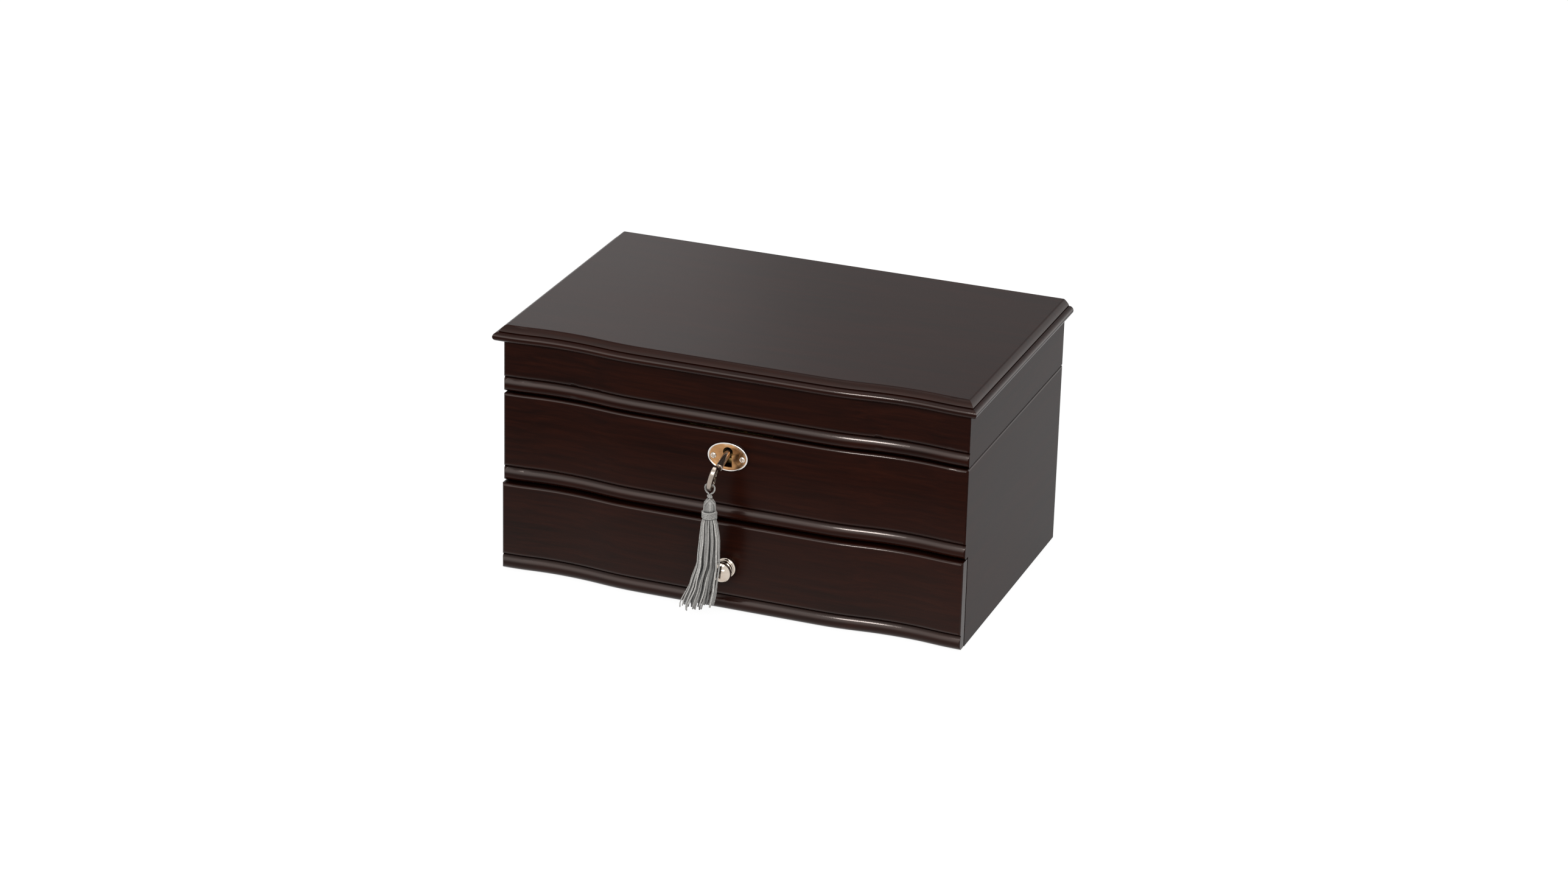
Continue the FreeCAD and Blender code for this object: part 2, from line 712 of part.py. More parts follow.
def lock_bolt():
    """Flat sliding bolt: a frame round the key with two teeth for its bit, and two hooks for the staple."""
    place = lambda x, z: V(x, bolt_y - bolt_thick / 2, z)
    way = V(0, bolt_thick, 0)
    foot, top = lock_foot_z + 0.2, drill_pin_z + 5.3
    bar_low = drill_pin_z + 3.6
    sill = drill_pin_z - 6.9
    tooth_top = drill_pin_z - 3.3
    plate = prism([(-9.0, foot), (10.2, foot), (10.2, top), (-9.0, top)], place, way)
    window = prism([(-6.0, sill), (7.6, sill), (7.6, bar_low), (-6.0, bar_low)], place, way)
    teeth = [prism([(a, sill - 0.5), (b, sill - 0.5), (b, tooth_top), (a, tooth_top)], place, way)
             for a, b in ((-6.5, -3.0), (1.8, 4.2))]
    bar = prism([(8.0, bar_low), (17.4, bar_low), (17.4, top), (8.0, top)], place, way)
    finger_z = case_top + lid_gap - hook_drop + 0.8 + (window_height - 1.6) / 2
    hooks = []
    for side in (-1, 1):
        tip = side * hook_x + hook_thick / 2 + 0.6
        root = tip + bolt_throw
        steps = [(root, top - 0.5), (root + 2.4, top - 0.5), (root + 2.4, finger_z + 1.6)]
        steps += [(tip, finger_z + 1.6), (tip, finger_z), (root, finger_z)]
        hooks.append(prism(steps, place, way))
    return joined([plate.cut(window), bar] + teeth + hooks)


def strike_parts():
    """Plate under the lid rail with two loops that drop into the lock, and its screws."""
    y1 = front_back_y
    y0 = y1 - strike_width
    plate = box(-selvedge_half, selvedge_half, y0, y1, lid_z, lid_z + strike_thick)
    loops = []
    for side in (-1, 1):
        x0, x1 = side * hook_x - hook_thick / 2, side * hook_x + hook_thick / 2
        loop = box(x0, x1, bolt_y - hook_width / 2, bolt_y + hook_width / 2, lid_z - hook_drop, lid_z + 0.5)
        low = lid_z - hook_drop + 0.8
        half_window = window_width / 2
        window = box(x0 - 1, x1 + 1, bolt_y - half_window, bolt_y + half_window, low, low + window_height)
        loops.append(loop.cut(window))
    spots = [V(side * (selvedge_half - 4), (y0 + y1) / 2, lid_z) for side in (-1, 1)]
    screws = Part.makeCompound([flat_screw(spot, V(0, 0, 1), lock_screw_length) for spot in spots])
    return {"strike_plate": joined([plate] + loops).cut(screw_room(screws)), "strike_screws": screws}


def strike_room():
    """Seat for the strike plate in the lid's front rail."""
    wide = selvedge_half + mortise_gap
    low = front_back_y - strike_width - mortise_gap
    return box(-wide, wide, low, front_back_y + 1, lid_z - 1, lid_z + strike_thick)


def lock_parts():
    """Everything of the lock, moved to its place, with the bolt as far as the key has drawn it."""
    parts = escutcheon_parts()
    parts.update(lock_case_parts())
    parts.update(strike_parts())
    parts["lock_bolt"] = lock_bolt().translated(V(-bolt_throw * key_turned / 90, 0, 0))
    return {name: shape.translated(V(lock_x, 0, 0)) for name, shape in parts.items()}


def front_rooms():
    """Mortise for the lock and the keyhole through the upper front."""
    y0, y1 = lock_y()
    gap = mortise_gap
    x = lock_half_width + gap
    mortise = box(-x, x, y0 - gap, y1 + 1, lock_foot_z - lock_wall - gap, case_top + 1)
    seat = box(-selvedge_half - gap, selvedge_half + gap, y1 - selvedge_width - gap, y1 + 1,
               case_top - selvedge_thick, case_top + 1)
    hole = keyhole_prism(hole_margin, y0 + 1, crest_y - 1, keyhole_foot_z, keyhole_z)
    return [mortise, seat, hole]


# Drawer

def drawer_rear():
    """Back face of the drawer box."""
    return inner_back - drawer_rear_gap


def drawer_parts():
    """Serpentine front, box, lining, divider and knob."""
    front = moulded_board(drawer_front_z, drawer_front_height, drawer_proud, arris_round, drawer_back_face)
    face = front_y - drawer_proud
    up = V(0, 0, drawer_front_height + 2)
    cutters = [arris_cutter(V(half, face, drawer_front_z - 1), V(1, 0, 0), V(0, -1, 0), up, corner_round)]
    front = front.cut(cutters + [mirrored(c) for c in cutters])
    x1 = inner_half - drawer_side_gap
    x0 = x1 - drawer_side_thick
    z0 = floor_z + drawer_floor_gap
    y0, y1 = drawer_back_face, drawer_rear()
    inner_y = y1 - drawer_side_thick
    side = box(x0, x1, y0, y1, z0, z0 + drawer_side_height)
    bottom_top = z0 + drawer_bottom_thick
    wide, low, high = x0 - fit_gap, y0 + fit_gap, inner_y - fit_gap
    shell = box(-wide, wide, low, high, bottom_top, z0 + drawer_side_height - 2)
    wide, low, high = wide - lining_thick, low + lining_thick, high - lining_thick
    floor = bottom_top + lining_thick
    room = box(-wide, wide, low, high, floor, z0 + drawer_side_height)
    half_thick = drawer_divider_thick / 2
    divider = box(-half_thick, half_thick, low + fit_gap, high - fit_gap, floor, z0 + drawer_side_height - 8)
    knob, screw, hole = knob_parts()
    return {
        "drawer_front": front.cut(hole),
        "drawer_right_side": side,
        "drawer_left_side": mirrored(side),
        "drawer_back": box(-x0, x0, inner_y, y1, z0, z0 + drawer_back_height),
        "drawer_bottom": box(-x0, x0, y0, inner_y, z0, bottom_top),
        "drawer_lining": shell.cut(room),
        "drawer_divider": divider,
        "knob": knob,
        "knob_screw": screw,
    }


def knob_parts():
    """Turned knob on a flanged foot, and the screw that holds it from inside the drawer."""
    face = crest_y - drawer_proud
    dome_from = math.asin((knob_shoulder - knob_length + knob_dome_r) / knob_dome_r)
    dome = arc(0, knob_length - knob_dome_r, knob_dome_r, math.degrees(dome_from), 90)
    steps = [
        (0, 0), (6.3, 0), [(6.3, 0), (6.95, 0.9), (6.3, 1.9)], (5.9, 2.1),
        [(5.9, 2.1), (6.15, 2.7), (5.6, 3.3)], [(5.6, 3.3), (3.9, 4.6), (4.3, 6.2)],
        (6.2, 6.9), [(6.2, 6.9), (7.0, 8.6), dome[0]], dome,
    ]
    section = Part.Face(outline(steps, lambda r, out: V(r, face - out, knob_z)))
    knob = section.revolve(V(0, face, knob_z), V(0, 1, 0), 360)
    inside = drawer_back_face
    shank = rod(V(0, inside, knob_z), V(0, face - 6, knob_z), knob_screw_r)
    head = rod(V(0, inside, knob_z), V(0, inside - knob_screw_head, knob_z), 2 * knob_screw_r)
    room = rod(V(0, inside + 1, knob_z), V(0, face - 6.2, knob_z), knob_screw_r + screw_gap)
    seat_foot = V(0, inside - knob_screw_head, knob_z)
    seat = rod(V(0, inside + 1, knob_z), seat_foot, 2 * knob_screw_r + screw_gap)
    return knob.cut(room), shank.fuse(head).removeSplitter(), room.fuse(seat)


# Key and tassel

def key_frame():
    """Key's own frame: z out along the shaft, y up across it, turned as the key stands."""
    droop = FreeCAD.Rotation(V(1, 0, 0), 90 + key_droop)
    turned = FreeCAD.Rotation(V(0, 0, 1), -key_turned)
    return FreeCAD.Placement(V(lock_x, key_mouth_y, key_mouth_z), droop.multiply(turned))


def key():
    """Barrel key: bored shaft, bit, collar, stem and a bow with two lobes."""
    shaft = Part.makeCylinder(shaft_r, key_inside + collar_out + 0.5, V(0, 0, -key_inside))
    collar = Part.makeCylinder(collar_r, collar_length, V(0, 0, collar_out))
    collar = collar.makeFillet(0.6, collar.Edges)
    stem_from = collar_out + collar_length - 0.3
    stem_length = bow_out - bow_half_length + 1.0 - stem_from
    stem = Part.makeCone(shaft_r * 0.8, stem_r, stem_length, V(0, 0, stem_from))
    bit = Part.makeBox(2 * bit_half, bit_reach - 1, bit_to - bit_from, V(-bit_half, -bit_reach, -bit_to))
    whole = joined([shaft, collar, stem, bow(), bit])
    bore = Part.makeCylinder(bore_r, bore_depth, V(0, 0, -key_inside))
    whole = whole.cut(bore)
    whole.Placement = key_frame()
    return whole


def bow():
    """Flat oval ring with softened edges."""
    centre = V(-bow_thick / 2, 0, bow_out)
    curve = Part.Ellipse(centre + V(0, bow_half_height, 0), centre + V(0, 0, bow_half_length), centre)
    plate = Part.Face(Part.Wire(curve.toShape())).extrude(V(bow_thick, 0, 0))
    rims = [e for e in plate.Edges if e.BoundBox.XLength < 0.01]
    plate = plate.makeFillet(0.8, rims)
    lobes = [
        Part.makeCylinder(bow_lobe_r, bow_thick + 2, centre + V(-1, side * bow_lobe_shift, 0), V(1, 0, 0))
        for side in (-1, 1)
    ]
    return plate.cut(lobes)


def bar_point():
    """Middle of the bow's bar where the cord hangs."""
    a = math.radians(loop_angle)
    c, s = math.cos(a), math.sin(a)
    outer = bow_half_length * bow_half_height / math.hypot(bow_half_height * c, bow_half_length * s)
    lift = -bow_lobe_shift * s
    inner = lift + math.sqrt(lift ** 2 - bow_lobe_shift ** 2 + bow_lobe_r ** 2)
    middle = (outer + inner) / 2
    return key_frame().multVec(V(0, middle * s, bow_out + middle * c))


def rounded_path(points, radii):
    """Straight runs joined by tangent arcs at the inner points."""
    edges = []
    last = points[0]
    for before, here, after, radius in zip(points, points[1:], points[2:], radii):
        back, on = (before - here).normalize(), (after - here).normalize()
        turn = math.pi - back.getAngle(on)
        cut = radius * math.tan(turn / 2)
        start, end = here + back * cut, here + on * cut
        inward = (back + on).normalize()
        middle = here + inward * (radius / math.cos(turn / 2) - radius)
        if last.distanceToPoint(start) > 1e-6:
            edges.append(Part.makeLine(last, start))
        edges.append(Part.Arc(start, middle, end).toShape())
        last = end
    edges.append(Part.makeLine(last, points[-1]))
    return Part.Wire(edges)


def tube(path, radius):
    """Round tube along a wire."""
    first = path.Edges[0]
    start = first.valueAt(first.FirstParameter)
    along = first.tangentAt(first.FirstParameter)
    if path.Edges[0].Vertexes[0].Point.distanceToPoint(start) > 1e-6:
        along = along.negative()
    ring = Part.Wire(Part.makeCircle(radius, start, along))
    return path.makePipeShell([ring], True, False)


def knot_centre():
    """Middle of the knot under the bow."""
    bar = bar_point()
    return V(bar.x, bar.y, bar.z - loop_drop - knot_r)


def cord_loop():
    """Cord from the knot, through the bow, round its bar and back."""
    bar = bar_point()
    foot = knot_centre().z + knot_r + knot_gap
    bend = bar.z - loop_drop / 2 + 0.4
    spots = [(-0.8, foot), (-loop_half, bend), (-loop_half, bar.z + loop_rise)]
    spots += [(-x, z) for x, z in reversed(spots)]
    points = [V(bar.x + x, bar.y, z) for x, z in spots]
    return tube(rounded_path(points, [2.5, loop_half - 0.05, loop_half - 0.05, 2.5]), loop_r)


def biarc(p0, t0, p1, t1):
    """Two arcs from p0 to p1 that leave along t0 and arrive along t1."""
    gap = p1 - p0
    sums = t0 + t1
    a = sums.dot(sums) - 4
    b = -2 * gap.dot(sums)
    c = gap.dot(gap)
    reach = (-b - math.sqrt(b * b - 4 * a * c)) / (2 * a)
    q0, q1 = p0 + t0 * reach, p1 - t1 * reach
    joint = (q0 + q1) / 2
    edges = []
    for start, corner, end in ((p0, q0, joint), (joint, q1, p1)):
        chord = (start + end) / 2
        half_chord = (end - start).Length / 2
        swing = math.acos(half_chord / reach)
        sagitta = reach / math.tan(swing) * (1 - math.cos(swing))
        edges.append(Part.Arc(start, chord + (corner - chord).normalize() * sagitta, end).toShape())
    return edges


def neck_wrap(centre):
    """Thread wound round the neck as one tube, a quarter turn at a time."""
    radius = neck_r + 0.1 + wrap_r
    foot = centre.z - neck_drop - neck_length / 2 - wrap_turns * wrap_pitch / 2
    slope = wrap_pitch / (2 * math.pi)

    def on_helix(a):
        point = V(centre.x + radius * math.cos(a), centre.y + radius * math.sin(a), foot + slope * a)
        along = V(-radius * math.sin(a), radius * math.cos(a), slope).normalize()
        return point, along

    edges = []
    for quarter in range(4 * wrap_turns):
        start, end = on_helix(quarter * math.pi / 2), on_helix((quarter + 1) * math.pi / 2)
        edges += biarc(*start, *end)
    samples = [on_helix(i * math.pi / 24)[0] for i in range(48 * wrap_turns + 1)]
    least = min(a.distanceToPoint(b) for i, a in enumerate(samples) for b in samples[i + 24:]) - 2 * wrap_r
    print("neck wrap: least gap between turns %.2f mm" % least)
    return tube(Part.Wire(edges), wrap_r)


def oval_steps(wide, deep):
    """Oval outline of four arcs, one for each quarter."""
    near = math.sqrt(0.5)
    return [
        [(wide, 0), (wide * near, deep * near), (0, deep)],
        [(0, deep), (-wide * near, deep * near), (-wide, 0)],
        [(-wide, 0), (-wide * near, -deep * near), (0, -deep)],
        [(0, -deep), (wide * near, -deep * near), (wide, 0)],
    ]


def tassel_parts():
    """Knot, head, neck wrap and skirt, hanging plumb under the bow."""
    knot = knot_centre()
    ball = Part.makeSphere(knot_r, knot)
    head_top = knot.z - head_drop
    neck_top = knot.z - neck_drop
    neck_foot = neck_top - neck_length
    socket = Part.makeSphere(knot_r + knot_gap, knot)
    steps = [
        (0, head_top), (1.8, head_top),
        [(1.8, head_top), (head_r - 0.3, head_top - 3.6), (head_r, neck_top + 1.2)],
        (neck_r, neck_top), (neck_r, neck_foot), (0, neck_foot),
    ]
    section = Part.Face(outline(steps, lambda r, z: V(knot.x + r, knot.y, z)))
    head = section.revolve(V(knot.x, knot.y, 0), V(0, 0, 1), 360)
    sections = []
    for down, lean, wide, deep in (
        (0.0, 0.0, 0.32, 0.58), (0.04, 0.0, 0.49, 0.77), (0.25, -0.06, 0.63, 0.87),
        (0.51, 0.0, 0.72, 0.9), (0.76, 0.48, 0.82, 0.94), (1.0, 1.0, 1.0, 1.0),
    ):
        x, z = knot.x - lean * skirt_lean, neck_foot - down * skirt_length
        oval = oval_steps(wide * skirt_half_width, deep * skirt_half_depth)
        sections.append(outline(oval, lambda a, b: V(x + a, knot.y + b, z)))
    return {
        "tassel_knot": ball,
        "tassel_head": head.cut(socket),
        "neck_wrap": neck_wrap(knot),
        "tassel_skirt": Part.makeLoft(sections, True, False),
    }


def whole_box():
    """Every piece by name."""
    parts = case_panels()
    parts.update(tray_parts())
    parts.update(lid_parts())
    parts.update(hinge_parts())
    parts.update(drawer_parts())
    parts.update(tassel_parts())
    parts.update(lock_parts())
    parts["drawer_stop"] = drawer_stop()
    parts["key"] = key()
    parts["cord_loop"] = cord_loop()
    front_seats = [room.translated(V(lock_x, 0, 0)) for room in front_rooms()]
    front_seats += [screw_room(parts["lock_screws"]), screw_room(parts["escutcheon_screws"])]
    seats = {
        "upper_front": front_seats,
        "back_panel": leaf_rooms(False) + [screw_room(parts["case_hinge_screws"])],
        "lid_back_rail": leaf_rooms(True) + [screw_room(parts["lid_hinge_screws"])],
        "lid_front_rail": [
            strike_room().translated(V(lock_x, 0, 0)),
            screw_room(parts["strike_screws"]),
        ],
    }
    for name, rooms in seats.items():
        parts[name] = parts[name].cut(rooms)
    return parts


def main():
    os.makedirs("parts", exist_ok=True)
    for name, shape in whole_box().items():
        shape.exportStep("parts/%s.step" % name)


main()
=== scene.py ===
import bpy
import math
import random
from mathutils import Euler, Matrix, Vector, noise


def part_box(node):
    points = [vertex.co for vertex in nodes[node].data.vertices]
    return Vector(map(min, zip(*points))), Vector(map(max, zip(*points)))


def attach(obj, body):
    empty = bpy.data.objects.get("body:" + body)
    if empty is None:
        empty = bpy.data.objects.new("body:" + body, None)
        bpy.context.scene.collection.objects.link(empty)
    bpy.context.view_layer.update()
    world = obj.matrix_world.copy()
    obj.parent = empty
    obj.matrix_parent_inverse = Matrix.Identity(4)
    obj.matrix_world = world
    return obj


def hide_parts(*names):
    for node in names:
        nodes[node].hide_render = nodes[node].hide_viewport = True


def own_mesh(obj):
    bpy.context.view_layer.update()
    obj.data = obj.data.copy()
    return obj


# Looks of a wooden jewellery box with a serpentine front, a lock with its key and tassel, and a drawer.
# Metres. X runs to the right, Y to the back and Z up, as in the frame.

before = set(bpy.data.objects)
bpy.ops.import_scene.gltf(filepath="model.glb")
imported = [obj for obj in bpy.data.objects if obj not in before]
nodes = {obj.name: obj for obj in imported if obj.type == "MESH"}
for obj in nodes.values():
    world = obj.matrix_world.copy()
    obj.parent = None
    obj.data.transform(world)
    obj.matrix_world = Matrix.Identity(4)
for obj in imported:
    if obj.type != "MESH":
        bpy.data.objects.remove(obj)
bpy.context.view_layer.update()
MM = 0.001

# Camera
azimuth = 20.226            # degrees to the right of the front
elevation = 22.466          # degrees above the box
roll = 1.547
focal_length = 97.30        # on a sensor 36 mm wide
camera_place = (0.89982, -2.44367, 1.15851)

# Tassel
skirt_rows = (              # height, shift to the right, half width, half depth
    (76.0, 0.0, 3.4, 3.4), (73.5, 0.1, 5.0, 4.4), (61.0, 0.5, 6.4, 5.0),
    (45.0, 0.0, 7.6, 5.4), (30.0, -3.4, 8.8, 5.8), (13.0, -7.4, 11.4, 6.2),
)
# The tone falls from the outer ring to the inner rings as painted shade inside the skirt.
skirt_rings = ((24, 1.0, 0.96), (16, 0.74, 0.45), (9, 0.4, 0.2))     # strands, share of the width, tone
skirt_top, skirt_end = 77.0, 13.5
strand_width = 1.3
strand_thick = 0.95
cord_radius = 0.62 * MM
cord_lay = 1.9 * MM         # length of one twist
wrap_cord_radius = 0.74 * MM
wrap_turns = 4
window_turn = 20            # the head's cords face this many degrees to the right of the front

# Linings
lining_thick = 1.2 * MM
divider_thick = 5.0 * MM
divider_round = 1.8 * MM
roll_count = 6
roll_overlap = 0.8 * MM     # how far the first and last roll reach past the box of the node

# Clear coat of the wood, as a share of a full gloss: flat faces at the top and at the foot, and mouldings.
# Only partly a real coat: the change from top to foot is painted, a reflection that brightens the fronts'
# foot and slight shade at the sides' foot, and the mouldings' gloss is a painted highlight.
front_gloss_and_reflection = (0.042, 0.185)
side_gloss_and_shade = (0.030, 0.026)
slant_highlight_gloss = 0.9


def centre(node):
    low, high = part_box(node)
    return (Vector(low) + Vector(high)) / 2


def lerp(a, b, t):
    return a + (b - a) * t


# Shader helpers

def material(name):
    made = bpy.data.materials.new(name)
    made.use_nodes = True
    return made, made.node_tree, made.node_tree.nodes["Principled BSDF"]


def add(tree, kind, values=None, **settings):
    node = tree.nodes.new(kind)
    for key, value in settings.items():
        setattr(node, key, value)
    for key, value in (values or {}).items():
        node.inputs[key].default_value = value
    return node


def link(tree, source, target):
    tree.links.new(source, target)


def place_coordinates(tree, scale, turn=(0, 0, 0)):
    """Position in the row frame, stretched."""
    spot = add(tree, "ShaderNodeTexCoord")
    mapping = add(tree, "ShaderNodeMapping", {"Scale": scale, "Rotation": turn})
    link(tree, spot.outputs["Object"], mapping.inputs["Vector"])
    return mapping.outputs["Vector"]


def noise_map(tree, vector, scale, detail=4.0, rough=0.55, distortion=0.0):
    node = add(tree, "ShaderNodeTexNoise",
               {"Scale": scale, "Detail": detail, "Roughness": rough, "Distortion": distortion})
    link(tree, vector, node.inputs["Vector"])
    return node.outputs["Fac"]


def ramp(tree, fac, stops):
    node = add(tree, "ShaderNodeValToRGB")
    band = node.color_ramp
    while len(band.elements) < len(stops):
        band.elements.new(0.5)
    for element, (position, colour) in zip(band.elements, stops):
        element.position = position
        element.color = (*colour, 1.0)
    link(tree, fac, node.inputs["Fac"])
    return node.outputs["Color"]


def value_range(tree, fac, low, high):
    node = add(tree, "ShaderNodeMapRange", {"To Min": low, "To Max": high})
    link(tree, fac, node.inputs["Value"])
    return node.outputs["Result"]


def bump(tree, height, strength, distance, before=None):
    node = add(tree, "ShaderNodeBump", {"Strength": strength, "Distance": distance})
    link(tree, height, node.inputs["Height"])
    if before is not None:
        link(tree, before, node.inputs["Normal"])
    return node.outputs["Normal"]


def mixed(tree, fac, first, second):
    node = add(tree, "ShaderNodeMix", data_type="RGBA")
    link(tree, fac, node.inputs["Factor"])
    for slot, value in (("A", first), ("B", second)):
        socket = [s for s in node.inputs if s.name == slot and s.type == "RGBA"][0]
        if isinstance(value, tuple):
            socket.default_value = (*value, 1.0)
        else:
            link(tree, value, socket)
    return [s for s in node.outputs if s.type == "RGBA"][0]


# Materials

def espresso(name, along, flat_gloss_and_reflection):
    """Dark stained wood under a clear coat, with its grain along one axis and glossier mouldings. Its
    crevices are darkened as painted shade, the mouldings' gloss, set by how far a face slants, is a painted
    highlight, and the gloss that changes from top to foot is painted reflection and shade.
    """
    made, tree, shader = material(name)
    stretch = [260.0, 260.0, 260.0]
    stretch["XYZ".index(along)] = 13.0
    grain = noise_map(tree, place_coordinates(tree, stretch), 1.0, 7.0, 0.7, 0.35)
    broad = noise_map(tree, place_coordinates(tree, (1, 1, 1)), 9.0, 3.0)
    colour = ramp(tree, grain, [
        (0.34, (0.0050, 0.0012, 0.0008)), (0.5, (0.0130, 0.0025, 0.0012)), (0.66, (0.0240, 0.0048, 0.0020)),
    ])
    tone = ramp(tree, broad, [(0.3, (0.0075, 0.0027, 0.0020)), (0.7, (0.0145, 0.0034, 0.0017))])
    stained = mixed(tree, value_range(tree, broad, 0.3, 0.7), colour, tone)
    # Painted shade: ambient occlusion darkens the wood towards near-black in crevices, seams and grooves.
    open_sky = add(tree, "ShaderNodeAmbientOcclusion", {"Distance": 0.003}, samples=16)
    crevice_shade = open_sky.outputs["AO"]
    link(tree, mixed(tree, crevice_shade, (0.0015, 0.0008, 0.0006), stained), shader.inputs["Base Color"])
    fine = noise_map(tree, place_coordinates(tree, (1, 1, 1)), 420.0, 3.0, 0.5)
    pores = bump(tree, grain, 0.07, 0.00010)
    link(tree, bump(tree, fine, 0.02, 0.00010, pores), shader.inputs["Normal"])
    shader.inputs["IOR"].default_value = 1.5
    shader.inputs["Specular Tint"].default_value = (1.0, 0.88, 0.82, 1.0)
    # Painted highlight: the gloss (and the polish) follows how far a face tilts up, peaking on slanted faces
    # such as the beads, where the lamp's reflection should fall.
    facing = add(tree, "ShaderNodeSeparateXYZ")
    link(tree, add(tree, "ShaderNodeTexCoord").outputs["Normal"], facing.inputs[0])
    rounded = add(tree, "ShaderNodeFloatCurve")
    link(tree, facing.outputs["Z"], rounded.inputs["Value"])
    curve = rounded.mapping.curves[0]
    curve.points[0].location, curve.points[1].location = (0.0, 0.0), (1.0, 0.0)
    for at, share in ((0.1, 0.0), (0.26, 0.5), (0.42, 1.0), (0.58, 0.4), (0.8, 0.12), (0.985, 0.0)):
        curve.points.new(at, share)
    rounded.mapping.update()
    satin, polished = value_range(tree, broad, 0.24, 0.28), value_range(tree, fine, 0.13, 0.17)
    polish = add(tree, "ShaderNodeMix", data_type="FLOAT")
    for socket, source in (("Factor", rounded.outputs["Value"]), ("A", satin), ("B", polished)):
        link(tree, source, polish.inputs[socket])
    link(tree, polish.outputs["Result"], shader.inputs["Roughness"])
    # Painted reflection and shade: the gloss of flat faces changes with height, from the top value at 108 mm
    # to the foot value at the floor.
    height = add(tree, "ShaderNodeSeparateXYZ")
    link(tree, add(tree, "ShaderNodeTexCoord").outputs["Object"], height.inputs[0])
    flat = add(tree, "ShaderNodeMapRange", {"From Min": 0.0, "From Max": 0.108,
                                            "To Min": flat_gloss_and_reflection[1], "To Max": flat_gloss_and_reflection[0]})
    link(tree, height.outputs["Z"], flat.inputs["Value"])
    gloss = add(tree, "ShaderNodeMix", {"B": slant_highlight_gloss}, data_type="FLOAT")
    link(tree, rounded.outputs["Value"], gloss.inputs["Factor"])
    link(tree, flat.outputs["Result"], gloss.inputs["A"])
    # Painted shade: the same occlusion also dims the gloss in crevices and seams.
    shaded = add(tree, "ShaderNodeMath", operation="MULTIPLY")
    link(tree, gloss.outputs["Result"], shaded.inputs[0])
    link(tree, crevice_shade, shaded.inputs[1])
    link(tree, shaded.outputs["Value"], shader.inputs["Specular IOR Level"])
    return made


def inner_wood():
    made, tree, shader = material("inner_wood")
    vector = place_coordinates(tree, (60, 6, 60))
    grain = noise_map(tree, vector, 1.0, 6.0, 0.6, 0.8)
    colour = ramp(tree, grain, [(0.3, (0.020, 0.010, 0.006)), (0.7, (0.050, 0.026, 0.016))])
    link(tree, colour, shader.inputs["Base Color"])
    link(tree, value_range(tree, grain, 0.5, 0.65), shader.inputs["Roughness"])
    link(tree, bump(tree, grain, 0.2, 0.0002), shader.inputs["Normal"])
    return made


def velvet(name, dark, light):
    made, tree, shader = material(name)
    pile = noise_map(tree, place_coordinates(tree, (1, 1, 1)), 1400.0, 2.0)
    crush = noise_map(tree, place_coordinates(tree, (1, 1, 1)), 34.0, 4.0, 0.6)
    link(tree, ramp(tree, crush, [(0.3, dark), (0.7, light)]), shader.inputs["Base Color"])
    link(tree, bump(tree, pile, 0.5, 0.0004), shader.inputs["Normal"])
    link(tree, value_range(tree, crush, 0.85, 0.95), shader.inputs["Roughness"])
    shader.inputs["Sheen Weight"].default_value = 0.6
    shader.inputs["Sheen Roughness"].default_value = 0.4
    return made


def metal(name, dark, light, rough_low, rough_high, scale, stretch=(1, 1, 1)):
    """Metal with a slightly uneven tone and polish."""
    made, tree, shader = material(name)
    uneven = noise_map(tree, place_coordinates(tree, stretch), scale, 4.0, 0.6)
    link(tree, ramp(tree, uneven, [(0.3, dark), (0.7, light)]), shader.inputs["Base Color"])
    link(tree, value_range(tree, uneven, rough_low, rough_high), shader.inputs["Roughness"])
    link(tree, bump(tree, uneven, 0.03, 0.00003), shader.inputs["Normal"])
    shader.inputs["Metallic"].default_value = 1.0
    return made


def plate_metal():
    """Polished plate: a warm mirror-bright field inside a silvery rim, the field's swirled dark-to-warm
    colour being a painted reflection of the surroundings.
    """
    made, tree, shader = material("escutcheon_nickel")
    low, high = (Vector(v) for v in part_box("escutcheon"))
    middle, size = (low + high) / 2, high - low
    spot = add(tree, "ShaderNodeTexCoord").outputs["Object"]
    shift = add(tree, "ShaderNodeVectorMath", operation="SUBTRACT")
    link(tree, spot, shift.inputs[0])
    shift.inputs[1].default_value = middle
    scale = add(tree, "ShaderNodeVectorMath", operation="MULTIPLY")
    link(tree, shift.outputs["Vector"], scale.inputs[0])
    scale.inputs[1].default_value = (2 / size.x, 0.0, 2 / size.z)
    reach = add(tree, "ShaderNodeVectorMath", operation="LENGTH")
    link(tree, scale.outputs["Vector"], reach.inputs[0])
    rim = add(tree, "ShaderNodeMapRange", {"From Min": 0.905, "From Max": 0.925})
    link(tree, reach.outputs["Value"], rim.inputs["Value"])
    # Painted reflection: swirls of dark brown to warm tan in the field's colour.
    painted_reflection_swirl = noise_map(tree, place_coordinates(tree, (60, 60, 95), (0, 0.5, 0)), 1.0, 3.0, 0.5, 1.6)
    field = ramp(tree, painted_reflection_swirl, [
        (0.30, (0.10, 0.060, 0.038)), (0.42, (0.36, 0.185, 0.080)),
        (0.60, (0.52, 0.275, 0.115)), (0.74, (0.62, 0.46, 0.33)),
    ])
    link(tree, mixed(tree, rim.outputs["Result"], field, (0.78, 0.75, 0.71)), shader.inputs["Base Color"])
    link(tree, value_range(tree, painted_reflection_swirl, 0.10, 0.16), shader.inputs["Roughness"])
    shader.inputs["Metallic"].default_value = 1.0
    return made


def mirror_glass():
    made, tree, shader = material("mirror_glass")
    haze = noise_map(tree, place_coordinates(tree, (1, 1, 1)), 60.0, 3.0)
    link(tree, value_range(tree, haze, 0.01, 0.03), shader.inputs["Roughness"])
    silver = ramp(tree, haze, [(0.3, (0.84, 0.86, 0.86)), (0.7, (0.88, 0.89, 0.89))])
    link(tree, silver, shader.inputs["Base Color"])
    shader.inputs["Metallic"].default_value = 1.0
    return made


